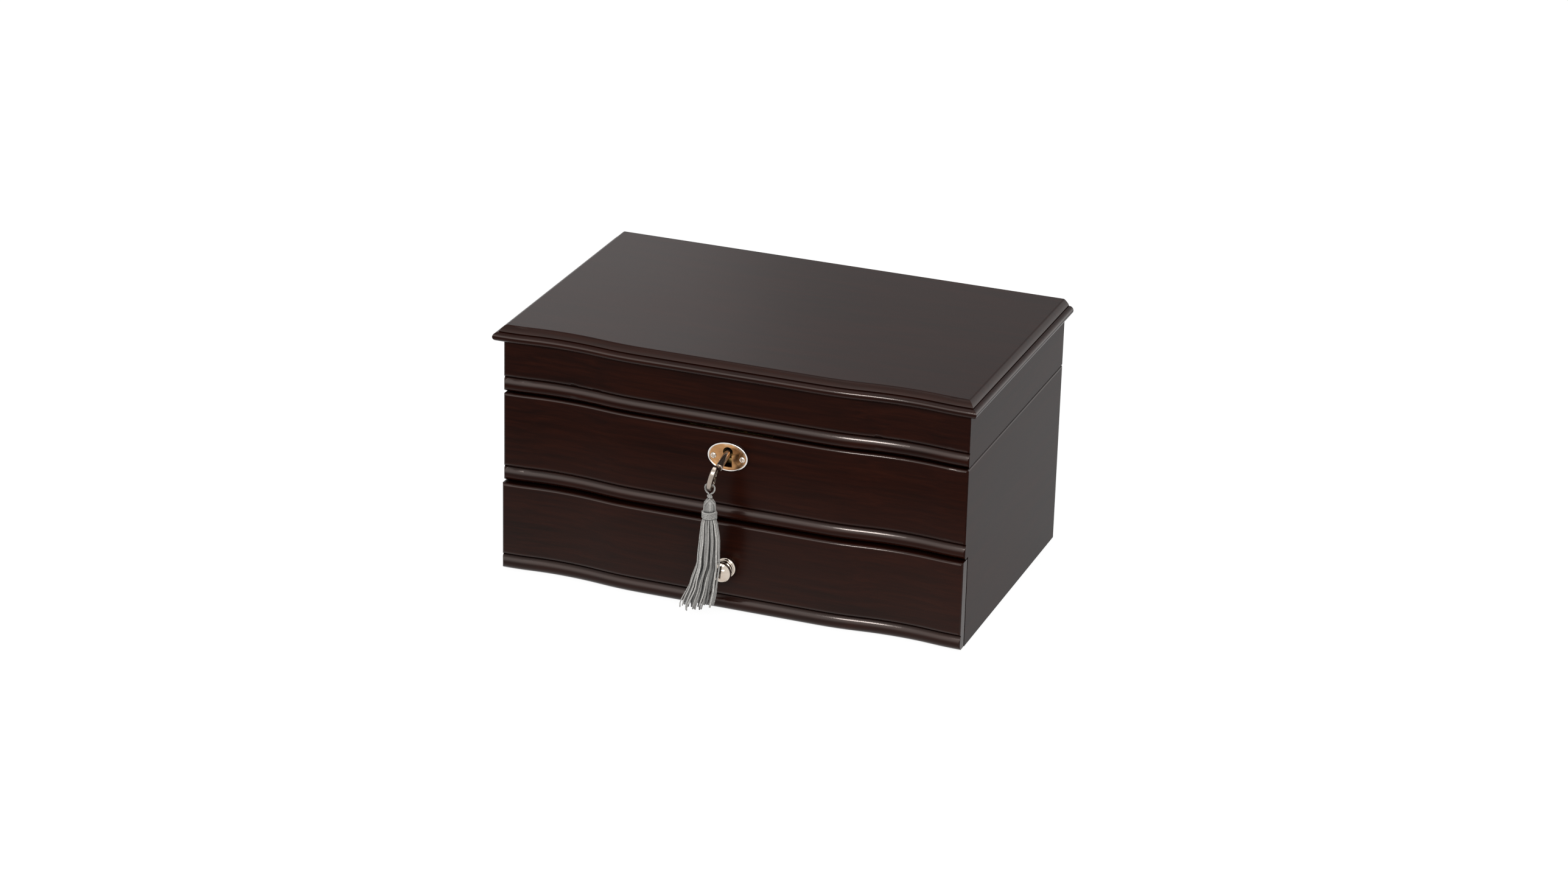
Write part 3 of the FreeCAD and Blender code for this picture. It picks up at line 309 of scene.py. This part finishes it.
def yarn(name, dark, light, fibre=(2300, 2300, 950)):
    """Silky yarn, with fibres that run down the strands. Ambient occlusion darkens it between and under
    strands as painted shade, and each strand's tone from the mesh carries painted shade too.
    """
    made, tree, shader = material(name)
    fibres = noise_map(tree, place_coordinates(tree, fibre), 1.0, 3.0, 0.6)
    tone = noise_map(tree, place_coordinates(tree, (1, 1, 1)), 220.0, 2.0)
    light_tone = mixed(tree, tone, dark, light)
    deep = tuple(0.7 * c for c in dark)
    spread = add(tree, "ShaderNodeMapRange", {"From Min": 0.30, "From Max": 0.60})
    link(tree, fibres, spread.inputs["Value"])
    fibrous = mixed(tree, spread.outputs["Result"], deep, light_tone)
    # Per-strand tone from the mesh: random, times painted shade on inner strands and on the head's core.
    strand = add(tree, "ShaderNodeAttribute", attribute_name="tone")
    toned = mixed(tree, strand.outputs["Fac"], (0.0, 0.0, 0.0), fibrous)
    # Painted shade: ambient occlusion darkens the yarn towards near-black between and under strands.
    between = add(tree, "ShaderNodeAmbientOcclusion", {"Distance": 0.0022}, samples=8)
    depth = add(tree, "ShaderNodeMapRange", {"From Min": 0.2, "From Max": 0.92})
    link(tree, between.outputs["AO"], depth.inputs["Value"])
    shaded = mixed(tree, depth.outputs["Result"], (0.004, 0.004, 0.004), toned)
    link(tree, shaded, shader.inputs["Base Color"])
    link(tree, bump(tree, fibres, 0.7, 0.0003), shader.inputs["Normal"])
    link(tree, value_range(tree, fibres, 0.42, 0.62), shader.inputs["Roughness"])
    shader.inputs["Sheen Weight"].default_value = 0.15
    return made


wood_x = espresso("espresso_wood_long", "X", front_gloss_and_reflection)
wood_y = espresso("espresso_wood_side", "Y", side_gloss_and_shade)
boards = inner_wood()
lining_velvet = velvet("champagne_velvet", (0.30, 0.235, 0.165), (0.40, 0.325, 0.235))
black_felt = velvet("black_felt", (0.006, 0.006, 0.006), (0.014, 0.014, 0.014))
satin_nickel = metal("satin_nickel", (0.31, 0.26, 0.215), (0.41, 0.35, 0.30), 0.20, 0.27, 260)
bright_nickel = metal("bright_nickel", (0.54, 0.45, 0.37), (0.68, 0.61, 0.53), 0.07, 0.11, 120)
lock_brass = metal("lock_brass", (0.42, 0.28, 0.10), (0.58, 0.41, 0.17), 0.22, 0.36, 400)
silvered = mirror_glass()
grey_yarn = yarn("grey_yarn", (0.30, 0.288, 0.268), (0.62, 0.605, 0.575))
cord_yarn = yarn("grey_cord", (0.24, 0.23, 0.215), (0.58, 0.565, 0.535), (1500, 1500, 1500))

finishes = {
    wood_x: ("upper_front", "drawer_front", "lid_board", "lid_front_rail", "back_panel", "lid_back_rail"),
    wood_y: ("left_side_panel", "right_side_panel", "lid_left_rail", "lid_right_rail"),
    boards: ("deck_panel", "bottom_panel", "drawer_stop", "drawer_left_side", "drawer_right_side",
             "drawer_back", "drawer_bottom"),
    lining_velvet: ("tray_lining", "long_divider", "front_cross_divider", "back_cross_dividers",
                    "ring_rolls", "lid_pad", "drawer_lining", "drawer_divider"),
    black_felt: ("base_felt",),
    satin_nickel: ("key",),
    bright_nickel: ("knob", "knob_screw", "escutcheon_screws"),
    lock_brass: ("lock_case", "lock_back_plate", "lock_screws", "lock_bolt", "strike_plate", "strike_screws",
                 "left_hinge_case_leaf", "left_hinge_lid_leaf", "right_hinge_case_leaf",
                 "right_hinge_lid_leaf", "hinge_pins", "case_hinge_screws", "lid_hinge_screws"),
    plate_metal(): ("escutcheon",),
    silvered: ("mirror",),
    grey_yarn: ("tassel_head", "tassel_skirt", "tassel_knot", "neck_wrap", "cord_loop"),
}
for finish, names in finishes.items():
    for name in names:
        mesh = nodes[name].data
        mesh.materials.clear()
        mesh.materials.append(finish)


# Mesh helpers

def mesh_object(name, points, faces, finish, smooth=True):
    mesh = bpy.data.meshes.new(name)
    mesh.from_pydata([tuple(p) for p in points], [], faces)
    mesh.update()
    for polygon in mesh.polygons:
        polygon.use_smooth = smooth
    mesh.materials.append(finish)
    made = bpy.data.objects.new(name, mesh)
    bpy.context.scene.collection.objects.link(made)
    return made


def piece(name, parts, finish, body, replaces=(), tones_and_shade=None):
    """One object from several (points, faces) pairs, riding on a body. Each pair may have its own tone, which
    for the tassel also carries painted shade.
    """
    points, faces, shades = [], [], []
    for i, (more_points, more_faces) in enumerate(parts):
        start = len(points)
        points += more_points
        faces += [tuple(i + start for i in face) for face in more_faces]
        shades += [tones_and_shade[i] if tones_and_shade else 1.0] * len(more_points)
    made = mesh_object(name, points, faces, finish)
    made.data.attributes.new("tone", "FLOAT", "POINT").data.foreach_set("value", shades)
    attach(made, body)
    if replaces:
        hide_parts(*replaces)
    return made


def carried_frames(path):
    """Tangent and two cross directions at each point of a path, turned as little as possible."""
    tangents = []
    for i in range(len(path)):
        before, after = path[max(i - 1, 0)], path[min(i + 1, len(path) - 1)]
        tangents.append((after - before).normalized())
    side = tangents[0].orthogonal().normalized()
    frames = []
    for tangent in tangents:
        side = (side - tangent * side.dot(tangent)).normalized()
        frames.append((tangent, side, tangent.cross(side)))
    return frames


def tube(path, radius, sides=8, flat=1.0, facing=None):
    """Tube along a path: radius is a number or a function of the share of the way along."""
    points, faces = [], []
    count = len(path)
    for i, (spot, (tangent, side, up)) in enumerate(zip(path, carried_frames(path))):
        if facing is not None:
            side = tangent.cross(facing(spot)).normalized()
            up = tangent.cross(side)
        r = radius(i / (count - 1)) if callable(radius) else radius
        for k in range(sides):
            a = 2 * math.pi * k / sides
            points.append(spot + side * (r * math.cos(a)) + up * (r * flat * math.sin(a)))
    for i in range(count - 1):
        for k in range(sides):
            a, b = i * sides + k, i * sides + (k + 1) % sides
            faces.append((a, b, b + sides, a + sides))
    faces.append(tuple(reversed(range(sides))))
    faces.append(tuple(range((count - 1) * sides, count * sides)))
    return points, faces


def twisted_cord(path, radius, pitch, plies=2, sides=8):
    """Plies wound round a path, as in a twisted cord."""
    frames = carried_frames(path)
    travelled, distance = [0.0], 0.0
    for a, b in zip(path, path[1:]):
        distance += (b - a).length
        travelled.append(distance)
    parts = []
    for ply in range(plies):
        route = []
        for spot, (_, side, up), way in zip(path, frames, travelled):
            a = 2 * math.pi * (way / pitch + ply / plies)
            route.append(spot + (side * math.cos(a) + up * math.sin(a)) * radius * 0.5)
        parts.append(tube(route, radius * 0.56, sides))
    return parts


def smooth_path(spots, steps):
    """Catmull-Rom curve through a few points."""
    spots = [Vector(s) for s in spots]
    ends = [2 * spots[0] - spots[1]] + spots + [2 * spots[-1] - spots[-2]]
    path = []
    for a, b, c, d in zip(ends, ends[1:], ends[2:], ends[3:]):
        for i in range(steps):
            t = i / steps
            path.append(0.5 * ((2 * b) + (c - a) * t + (2 * a - 5 * b + 4 * c - d) * t * t
                               + (3 * b - a - 3 * c + d) * t ** 3))
    path.append(spots[-1])
    return path


def rounded_block(low, high, round_r, steps=3):
    """Block with rounded upright and top edges, as points and faces."""
    low, high = Vector(low), Vector(high)
    middle, half = (low + high) / 2, (high - low) / 2
    per_corner = steps + 1
    rings = []
    for i in range(steps + 1):
        a = math.pi / 2 * i / steps
        rings.append((half.z - round_r + round_r * math.sin(a), round_r * (1 - math.cos(a))))
    rings = [(-half.z, 0.0)] + rings
    points, faces = [], []
    for z, inset in rings:
        for sx, sy, start in ((1, 1, 0), (-1, 1, 1), (-1, -1, 2), (1, -1, 3)):
            for k in range(per_corner):
                a = math.pi / 2 * (start + k / steps)
                r = max(round_r - inset, 1e-6)
                x = sx * (half.x - round_r) + r * math.cos(a)
                y = sy * (half.y - round_r) + r * math.sin(a)
                points.append(middle + Vector((x, y, z)))
    around = 4 * per_corner
    for i in range(len(rings) - 1):
        for k in range(around):
            a, b = i * around + k, i * around + (k + 1) % around
            faces.append((a, b, b + around, a + around))
    faces.append(tuple(reversed(range(around))))
    faces.append(tuple(range((len(rings) - 1) * around, len(rings) * around)))
    return points, faces


# Linings, dividers and felt

def lining(name, node, body, wall):
    """Velvet tray: thin walls with a rounded lip, and a floor."""
    low, high = (Vector(v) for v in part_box(node))
    lip = wall / 2
    profile = [(0.0, low.z), (0.0, high.z - lip)]
    for a in (0.5, 1.0, 1.57, 2.1, 2.6):
        profile.append((lip - lip * math.cos(a), high.z - lip + lip * math.sin(a)))
    profile += [(wall, high.z - lip), (wall, low.z + wall + 1.5 * MM)]
    profile += [(wall + 0.5 * MM, low.z + wall + 0.4 * MM), (wall + 1.6 * MM, low.z + wall)]
    points, faces = [], []
    for inset, z in profile:
        for x, y in ((low.x + inset, low.y + inset), (high.x - inset, low.y + inset),
                     (high.x - inset, high.y - inset), (low.x + inset, high.y - inset)):
            points.append(Vector((x, y, z)))
    for i in range(len(profile) - 1):
        for k in range(4):
            a, b = 4 * i + k, 4 * i + (k + 1) % 4
            faces.append((a, b, b + 4, a + 4))
    last = 4 * (len(profile) - 1)
    faces.append((last, last + 1, last + 2, last + 3))
    faces.append((3, 2, 1, 0))
    made = piece(name, [(points, faces)], lining_velvet, body, (node,))
    for polygon in made.data.polygons:
        polygon.use_smooth = False


def divider(name, node, body, solids):
    parts = [rounded_block(low, high, divider_round) for low, high in solids]
    piece(name, parts, lining_velvet, body, (node,))


def whole(node):
    low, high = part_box(node)
    return [(Vector(low), Vector(high))]


def halves(node, width):
    """The two blocks at the left and right ends of a node."""
    low, high = (Vector(v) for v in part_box(node))
    left = (low, Vector((low.x + width, high.y, high.z)))
    right = (Vector((high.x - width, low.y, low.z)), high)
    return [left, right]


def ring_rolls():
    """Plump velvet rolls, pulled in at the ends and slightly uneven."""
    low, high = (Vector(v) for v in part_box("ring_rolls"))
    pitch = (high.y - low.y + 2 * roll_overlap) / roll_count
    parts = []
    along, around = 36, 20
    for roll_index in range(roll_count):
        middle = low.y - roll_overlap + pitch * (roll_index + 0.5)
        half_width = pitch / 2 - 0.9 * MM
        points, faces = [], []
        for i in range(along + 1):
            t = i / along
            x = lerp(low.x, high.x, t)
            end = min(t, 1 - t) * (high.x - low.x)
            pull = 0.72 + 0.28 * min(1.0, end / (7 * MM)) ** 0.5
            for k in range(around):
                a = 2 * math.pi * k / around
                r = half_width * pull
                crown = high.z - half_width * (1 - pull) - r
                y = r * math.cos(a)
                z = crown + r * math.sin(a) if math.sin(a) > 0 else lerp(crown, low.z, (-math.sin(a)) ** 0.35)
                spot = Vector((x, middle + y, z))
                ripple = noise.noise(spot * 140) * 0.25 * MM
                points.append(spot + Vector((0, math.cos(a), max(math.sin(a), 0))) * ripple)
        for i in range(along):
            for k in range(around):
                a, b = i * around + k, i * around + (k + 1) % around
                faces.append((a, a + around, b + around, b))
        faces.append(tuple(range(around)))
        faces.append(tuple(reversed(range(along * around, (along + 1) * around))))
        parts.append((points, faces))
    rolls = piece("ring_rolls_soft", parts, lining_velvet, "case", ("ring_rolls",))


def lid_pad():
    """Padded velvet panel round the mirror: crowned, and drawn in at both edges."""
    low, high = (Vector(v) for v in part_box("lid_pad"))
    mirror_low, mirror_high = (Vector(v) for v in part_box("mirror"))
    gap = 0.1 * MM
    inner_low = mirror_low - Vector((gap, gap, 0))
    inner_high = mirror_high + Vector((gap, gap, 0))
    steps = 12
    points, faces = [], []
    rings = [(0.0, high.z - 0.05 * MM)]
    for i in range(steps + 1):
        t = i / steps
        drop = 1 - abs(2 * t - 1) ** 3
        rings.append((t, lerp(high.z - 0.8 * MM, low.z, drop)))
    rings.append((1.0, high.z - 0.05 * MM))
    for t, z in rings:
        x0, x1 = lerp(low.x, inner_low.x, t), lerp(high.x, inner_high.x, t)
        y0, y1 = lerp(low.y, inner_low.y, t), lerp(high.y, inner_high.y, t)
        points += [Vector(p) for p in ((x0, y0, z), (x1, y0, z), (x1, y1, z), (x0, y1, z))]
    count = len(rings)
    for i in range(count):
        for k in range(4):
            a, b = 4 * i + k, 4 * i + (k + 1) % 4
            c, d = 4 * ((i + 1) % count) + (k + 1) % 4, 4 * ((i + 1) % count) + k
            faces.append((a, d, c, b))
    pad = piece("lid_pad_soft", [(points, faces)], lining_velvet, "lid", ("lid_pad",))


def felt_sheet():
    parts = [rounded_block(*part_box("base_felt"), 0.4 * MM)]
    piece("base_felt_sheet", parts, black_felt, "case", ("base_felt",))


lining("tray_lining_velvet", "tray_lining", "case", lining_thick)
lining("drawer_lining_velvet", "drawer_lining", "drawer", lining_thick)
divider("long_divider_velvet", "long_divider", "case", whole("long_divider"))
divider("front_divider_velvet", "front_cross_divider", "case", whole("front_cross_divider"))
divider("back_dividers_velvet", "back_cross_dividers", "case", halves("back_cross_dividers", divider_thick))
divider("drawer_divider_velvet", "drawer_divider", "drawer", whole("drawer_divider"))
ring_rolls()
lid_pad()
felt_sheet()


# Escutcheon screws

def cross_head(spot, radius, height, turn):
    """Domed screw head with a cross-shaped recess, and its shank behind."""
    rings, around = 22, 64
    points, faces = [spot + Vector((0, -height * 0.45, 0))], []
    for i in range(1, rings + 1):
        r = radius * i / rings
        for k in range(around):
            a = 2 * math.pi * k / around
            x, z = r * math.cos(a + turn), r * math.sin(a + turn)
            u, v = r * math.cos(a), r * math.sin(a)
            dome = height * math.sqrt(max(0.0, 1 - 0.93 * (r / radius) ** 2))
            arm = max(0.0, 1 - abs(u) / (0.16 * radius)) * (abs(v) < 0.6 * radius)
            arm = max(arm, max(0.0, 1 - abs(v) / (0.16 * radius)) * (abs(u) < 0.6 * radius))
            depth = min(1.0, 2.2 * arm) * height * 0.62
            points.append(spot + Vector((x, -(dome - depth), z)))
    for k in range(around):
        faces.append((0, 1 + (k + 1) % around, 1 + k))
    for i in range(rings - 1):
        for k in range(around):
            a, b = 1 + i * around + k, 1 + i * around + (k + 1) % around
            faces.append((a, b, b + around, a + around))
    shank = tube([spot + Vector((0, 0.2 * MM, 0)), spot + Vector((0, 4.8 * MM, 0))], 0.8 * MM, 16)
    return [(points, faces), shank]


def escutcheon_screws():
    low, high = (Vector(v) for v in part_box("escutcheon_screws"))
    radius = (high.z - low.z) / 2
    dome = 1.0 * MM
    parts = []
    for x, turn in ((low.x + radius, 0.35), (high.x - radius, 0.15)):
        parts += cross_head(Vector((x, low.y + dome, (low.z + high.z) / 2)), radius, dome, turn)
    piece("escutcheon_cross_screws", parts, bright_nickel, "case", ("escutcheon_screws",))


escutcheon_screws()


# Tassel

knot = centre("tassel_knot")
head_low, head_high = (Vector(v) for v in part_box("tassel_head"))
loop_low, loop_high = (Vector(v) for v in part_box("cord_loop"))
wrap_low, wrap_high = (Vector(v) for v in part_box("neck_wrap"))


def skirt_at(z):
    """Shift, half width and half depth of the skirt at a height in mm."""
    rows = skirt_rows
    if z >= rows[0][0]:
        return rows[0][1:]
    for upper, lower in zip(rows, rows[1:]):
        if z >= lower[0]:
            t = (upper[0] - z) / (upper[0] - lower[0])
            ease = t * t * (3 - 2 * t)
            return tuple(lerp(a, b, 0.5 * (t + ease)) for a, b in zip(upper[1:], lower[1:]))
    return rows[-1][1:]


def outward(depth_weight):
    """Function that gives the way out from the tassel's middle at a place."""
    def way(spot):
        return Vector((spot.x - knot.x, depth_weight * (spot.y - knot.y), 0)) + Vector((1e-6, 0, 0))
    return way


def skirt_strand(angle, share, end_z, rng):
    """Path of one strand down from the neck."""
    steps = 26
    phase, amount = rng.uniform(0, 6.28), rng.uniform(0.25, 0.8)
    path = []
    for i in range(steps + 1):
        t = i / steps
        z = lerp(skirt_top, end_z, t)
        shift, wide, deep = skirt_at(z)
        swing = angle + 0.5 * t * math.sin(phase)
        wave = amount * t * math.sin(phase + 3.2 * t * math.pi)
        x = shift + wide * share * math.cos(swing) + wave
        y = deep * share * math.sin(swing) + 0.6 * wave
        path.append(Vector((knot.x + x * MM, knot.y + y * MM, z * MM)))
    return path


def tassel_skirt():
    rng = random.Random(7)
    parts, tones_and_shade = [], []
    for count, share, tone in skirt_rings:
        for i in range(count):
            angle = 2 * math.pi * (i + rng.uniform(-0.28, 0.28)) / count
            lean = math.cos(angle)
            end_z = skirt_end + 2.0 * lean + rng.uniform(-1.2, 2.6)
            path = skirt_strand(angle, share * rng.uniform(0.94, 1.03), end_z, rng)
            width = strand_width / 2 * rng.uniform(0.85, 1.15) * MM

            def radius(t, width=width):
                return width * (0.72 + 0.28 * min(1.0, t * 5)) * (1.0 if t < 0.97 else 0.8)

            parts.append(tube(path, radius, 10, strand_thick / strand_width, outward(1.6)))
            # Random tone times the ring's tone, whose fall towards the middle is painted shade.
            tones_and_shade.append(tone * rng.uniform(0.5, 1.2))
    return piece("tassel_skirt_strands", parts, grey_yarn, "tassel", ("tassel_skirt",), tones_and_shade)


def head_radius(z):
    """Half width of the bundle between the knot and the neck."""
    top, foot = head_high.z, wrap_high.z
    t = min(1.0, max(0.0, (top - z) / (top - foot)))
    return (1.2 + 1.9 * math.sin(0.5 * math.pi * min(1.0, 2.0 * t))) * MM


def tassel_head():
    rng = random.Random(3)
    parts = []
    count = 22
    for i in range(count):
        angle = 2 * math.pi * (i + rng.uniform(-0.2, 0.2)) / count
        path = []
        for k in range(15):
            z = lerp(head_high.z, head_low.z, k / 14)
            r = head_radius(z) * 0.92
            path.append(Vector((knot.x + r * math.cos(angle), knot.y + r * math.sin(angle), z)))
        parts.append(tube(path, 0.72 * MM, 8, 0.6, outward(1.0)))
    # The core's low tone is painted shade inside the head.
    tones_and_shade = [rng.uniform(0.45, 0.85) for _ in parts] + [0.2]
    core = [Vector((knot.x, knot.y, lerp(head_high.z - 0.6 * MM, head_low.z, k / 8))) for k in range(9)]
    parts.append(tube(core, lambda t: head_radius(lerp(head_high.z, head_low.z, t)) * 0.8, 16))
    piece("tassel_head_yarn", parts, grey_yarn, "tassel", ("tassel_head",), tones_and_shade)


def head_cords():
    """Twisted cord that frames the head on the front and on the back."""
    parts = []
    for facing in (-90 + window_turn, 90 + window_turn):
        path = []
        for i in range(81):
            t = i / 40 - 1
            z = lerp(head_high.z + 0.4 * MM, wrap_high.z - 0.6 * MM, abs(t) ** 1.25)
            r = head_radius(z) + 0.5 * MM
            a = math.radians(facing + math.copysign(74 * (1 - (1 - abs(t)) ** 2.6), t))
            path.append(Vector((knot.x + r * math.cos(a), knot.y + r * math.sin(a), z)))
        parts += twisted_cord(path, cord_radius, cord_lay)
    piece("tassel_head_cords", parts, cord_yarn, "tassel")


def neck_wrap():
    """Close turns of twisted cord round the neck."""
    per_turn = 110
    middle = (wrap_low + wrap_high) / 2
    radius = (wrap_high.x - wrap_low.x) / 2 - 0.42 * MM
    low, high = wrap_low.z + 0.55 * MM, wrap_high.z - 0.55 * MM
    path = []
    for i in range(wrap_turns * per_turn + 1):
        a = 2 * math.pi * i / per_turn
        path.append(Vector((knot.x + radius * math.cos(a), knot.y + radius * math.sin(a),
                            lerp(low, high, i / (wrap_turns * per_turn)))))
    parts = twisted_cord(path, wrap_cord_radius, 1.8 * MM)
    piece("neck_wrap_cord", parts, cord_yarn, "tassel", ("neck_wrap",))


def cord_loop():
    """Twisted cord that goes round the bow and back into the knot."""
    half = (loop_high.x - loop_low.x) / 2 - 0.65 * MM
    top = loop_high.z - 0.65 * MM
    foot = loop_low.z
    spots = [(-0.7 * MM, foot), (-0.75 * half, lerp(foot, top, 0.22)), (-half, lerp(foot, top, 0.5)),
             (-0.85 * half, lerp(foot, top, 0.82)), (0.0, top), (0.85 * half, lerp(foot, top, 0.82)),
             (half, lerp(foot, top, 0.5)), (0.75 * half, lerp(foot, top, 0.22)), (0.7 * MM, foot)]
    path = smooth_path([(knot.x + x, knot.y, z) for x, z in spots], 8)
    cord = twisted_cord(path, cord_radius, cord_lay)
    piece("cord_loop_twisted", cord, cord_yarn, "loop", ("cord_loop",))


def tassel_knot():
    """Small overhand knot: three crossing turns of twisted cord over a core."""
    parts = []
    for tilt in (0.55, -0.55, 1.4):
        path = []
        for i in range(61):
            a = 2 * math.pi * i / 60
            spot = Vector((1.35 * math.cos(a), 1.35 * math.sin(a), 0)) * MM
            path.append(knot + Euler((tilt, 0.4 * tilt, tilt * 2)).to_matrix() @ spot)
        parts += twisted_cord(path, 0.6 * MM, 1.7 * MM)
    core = [knot + Vector((0, 0, z * MM)) for z in (-1.7, -1.2, 0, 1.2, 1.7)]
    parts.append(tube(core, lambda t: (0.5 + 0.8 * math.sin(math.pi * t)) * MM, 12))
    piece("tassel_knot_cord", parts, cord_yarn, "knot", ("tassel_knot",))


skirt = tassel_skirt()
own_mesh(skirt)
tassel_head()
head_cords()
neck_wrap()
cord_loop()
tassel_knot()


# Camera, floor and light

def add_camera():
    a, e, r = (math.radians(v) for v in (azimuth, elevation, roll))
    right = Vector((math.cos(a), math.sin(a), 0))
    forward = Vector((-math.sin(a) * math.cos(e), math.cos(a) * math.cos(e), -math.sin(e)))
    up = right.cross(forward)
    x_axis = right * math.cos(r) + up * math.sin(r)
    y_axis = up * math.cos(r) - right * math.sin(r)
    data = bpy.data.cameras.new("camera")
    data.sensor_width = 36.0
    data.lens = focal_length
    data.clip_start, data.clip_end = 0.05, 30.0
    camera = bpy.data.objects.new("camera", data)
    turn = Matrix((x_axis, y_axis, -forward)).transposed().to_4x4()
    camera.matrix_world = Matrix.Translation(camera_place) @ turn
    bpy.context.scene.collection.objects.link(camera)
    bpy.context.scene.camera = camera


def seen_directly(tree):
    """1 for rays from the camera, a reflection or glass, and 0 for light on the object."""
    path = add(tree, "ShaderNodeLightPath")
    first = add(tree, "ShaderNodeMath", operation="MAXIMUM")
    link(tree, path.outputs["Is Camera Ray"], first.inputs[0])
    link(tree, path.outputs["Is Glossy Ray"], first.inputs[1])
    both = add(tree, "ShaderNodeMath", operation="MAXIMUM")
    link(tree, first.outputs[0], both.inputs[0])
    link(tree, path.outputs["Is Transmission Ray"], both.inputs[1])
    return both.outputs[0]


def add_floor():
    made = bpy.data.materials.new("floor_white")
    made.use_nodes = True
    tree = made.node_tree
    tree.nodes.clear()
    out = add(tree, "ShaderNodeOutputMaterial")
    shade = add(tree, "ShaderNodeBsdfDiffuse", {"Color": (0.8, 0.8, 0.8, 1)})
    faint = add(tree, "ShaderNodeBsdfDiffuse", {"Color": (0.12, 0.12, 0.12, 1)})
    white = add(tree, "ShaderNodeEmission", {"Color": (1, 1, 1, 1), "Strength": 0.93})
    shown = add(tree, "ShaderNodeAddShader")
    link(tree, faint.outputs[0], shown.inputs[0])
    link(tree, white.outputs[0], shown.inputs[1])
    choose = add(tree, "ShaderNodeMixShader")
    link(tree, seen_directly(tree), choose.inputs["Fac"])
    link(tree, shade.outputs[0], choose.inputs[1])
    link(tree, shown.outputs[0], choose.inputs[2])
    link(tree, choose.outputs[0], out.inputs["Surface"])
    half = 6.0
    signs = ((-1, -1), (1, -1), (1, 1), (-1, 1))
    corners = [Vector((x * half, y * half, -0.2 * MM)) for x, y in signs]
    mesh_object("floor", corners, [(0, 1, 2, 3)], made, False)


def add_world():
    world = bpy.data.worlds.new("studio")
    world.use_nodes = True
    tree = world.node_tree
    tree.nodes.clear()
    out = add(tree, "ShaderNodeOutputWorld")
    ambient = add(tree, "ShaderNodeBackground", {"Color": (1, 1, 1, 1), "Strength": 0.5})
    white = add(tree, "ShaderNodeBackground", {"Color": (1, 1, 1, 1), "Strength": 1.0})
    choose = add(tree, "ShaderNodeMixShader")
    link(tree, seen_directly(tree), choose.inputs["Fac"])
    link(tree, ambient.outputs[0], choose.inputs[1])
    link(tree, white.outputs[0], choose.inputs[2])
    link(tree, choose.outputs[0], out.inputs["Surface"])
    bpy.context.scene.world = world


def add_lamp(name, place, target, size, power):
    data = bpy.data.lights.new(name, "AREA")
    data.shape = "RECTANGLE"
    data.size, data.size_y = size
    data.energy = power
    lamp = bpy.data.objects.new(name, data)
    lamp.location = place
    lamp.rotation_mode = "QUATERNION"
    lamp.rotation_quaternion = (Vector(target) - Vector(place)).to_track_quat("-Z", "Y")
    bpy.context.scene.collection.objects.link(lamp)


add_camera()
add_floor()
add_world()
add_lamp("front_strip", (0.45, -1.40, 0.95), (0, -0.05, 0.08), (1.5, 0.16), 20)
add_lamp("overhead_soft", (0.0, 0.1, 1.7), (0, 0, 0), (1.2, 1.2), 8)
add_lamp("back_left", (-1.6, 2.2, 1.1), (-0.1, 0, 0.15), (1.4, 1.0), 4)

bpy.context.scene.view_settings.view_transform = "Standard"
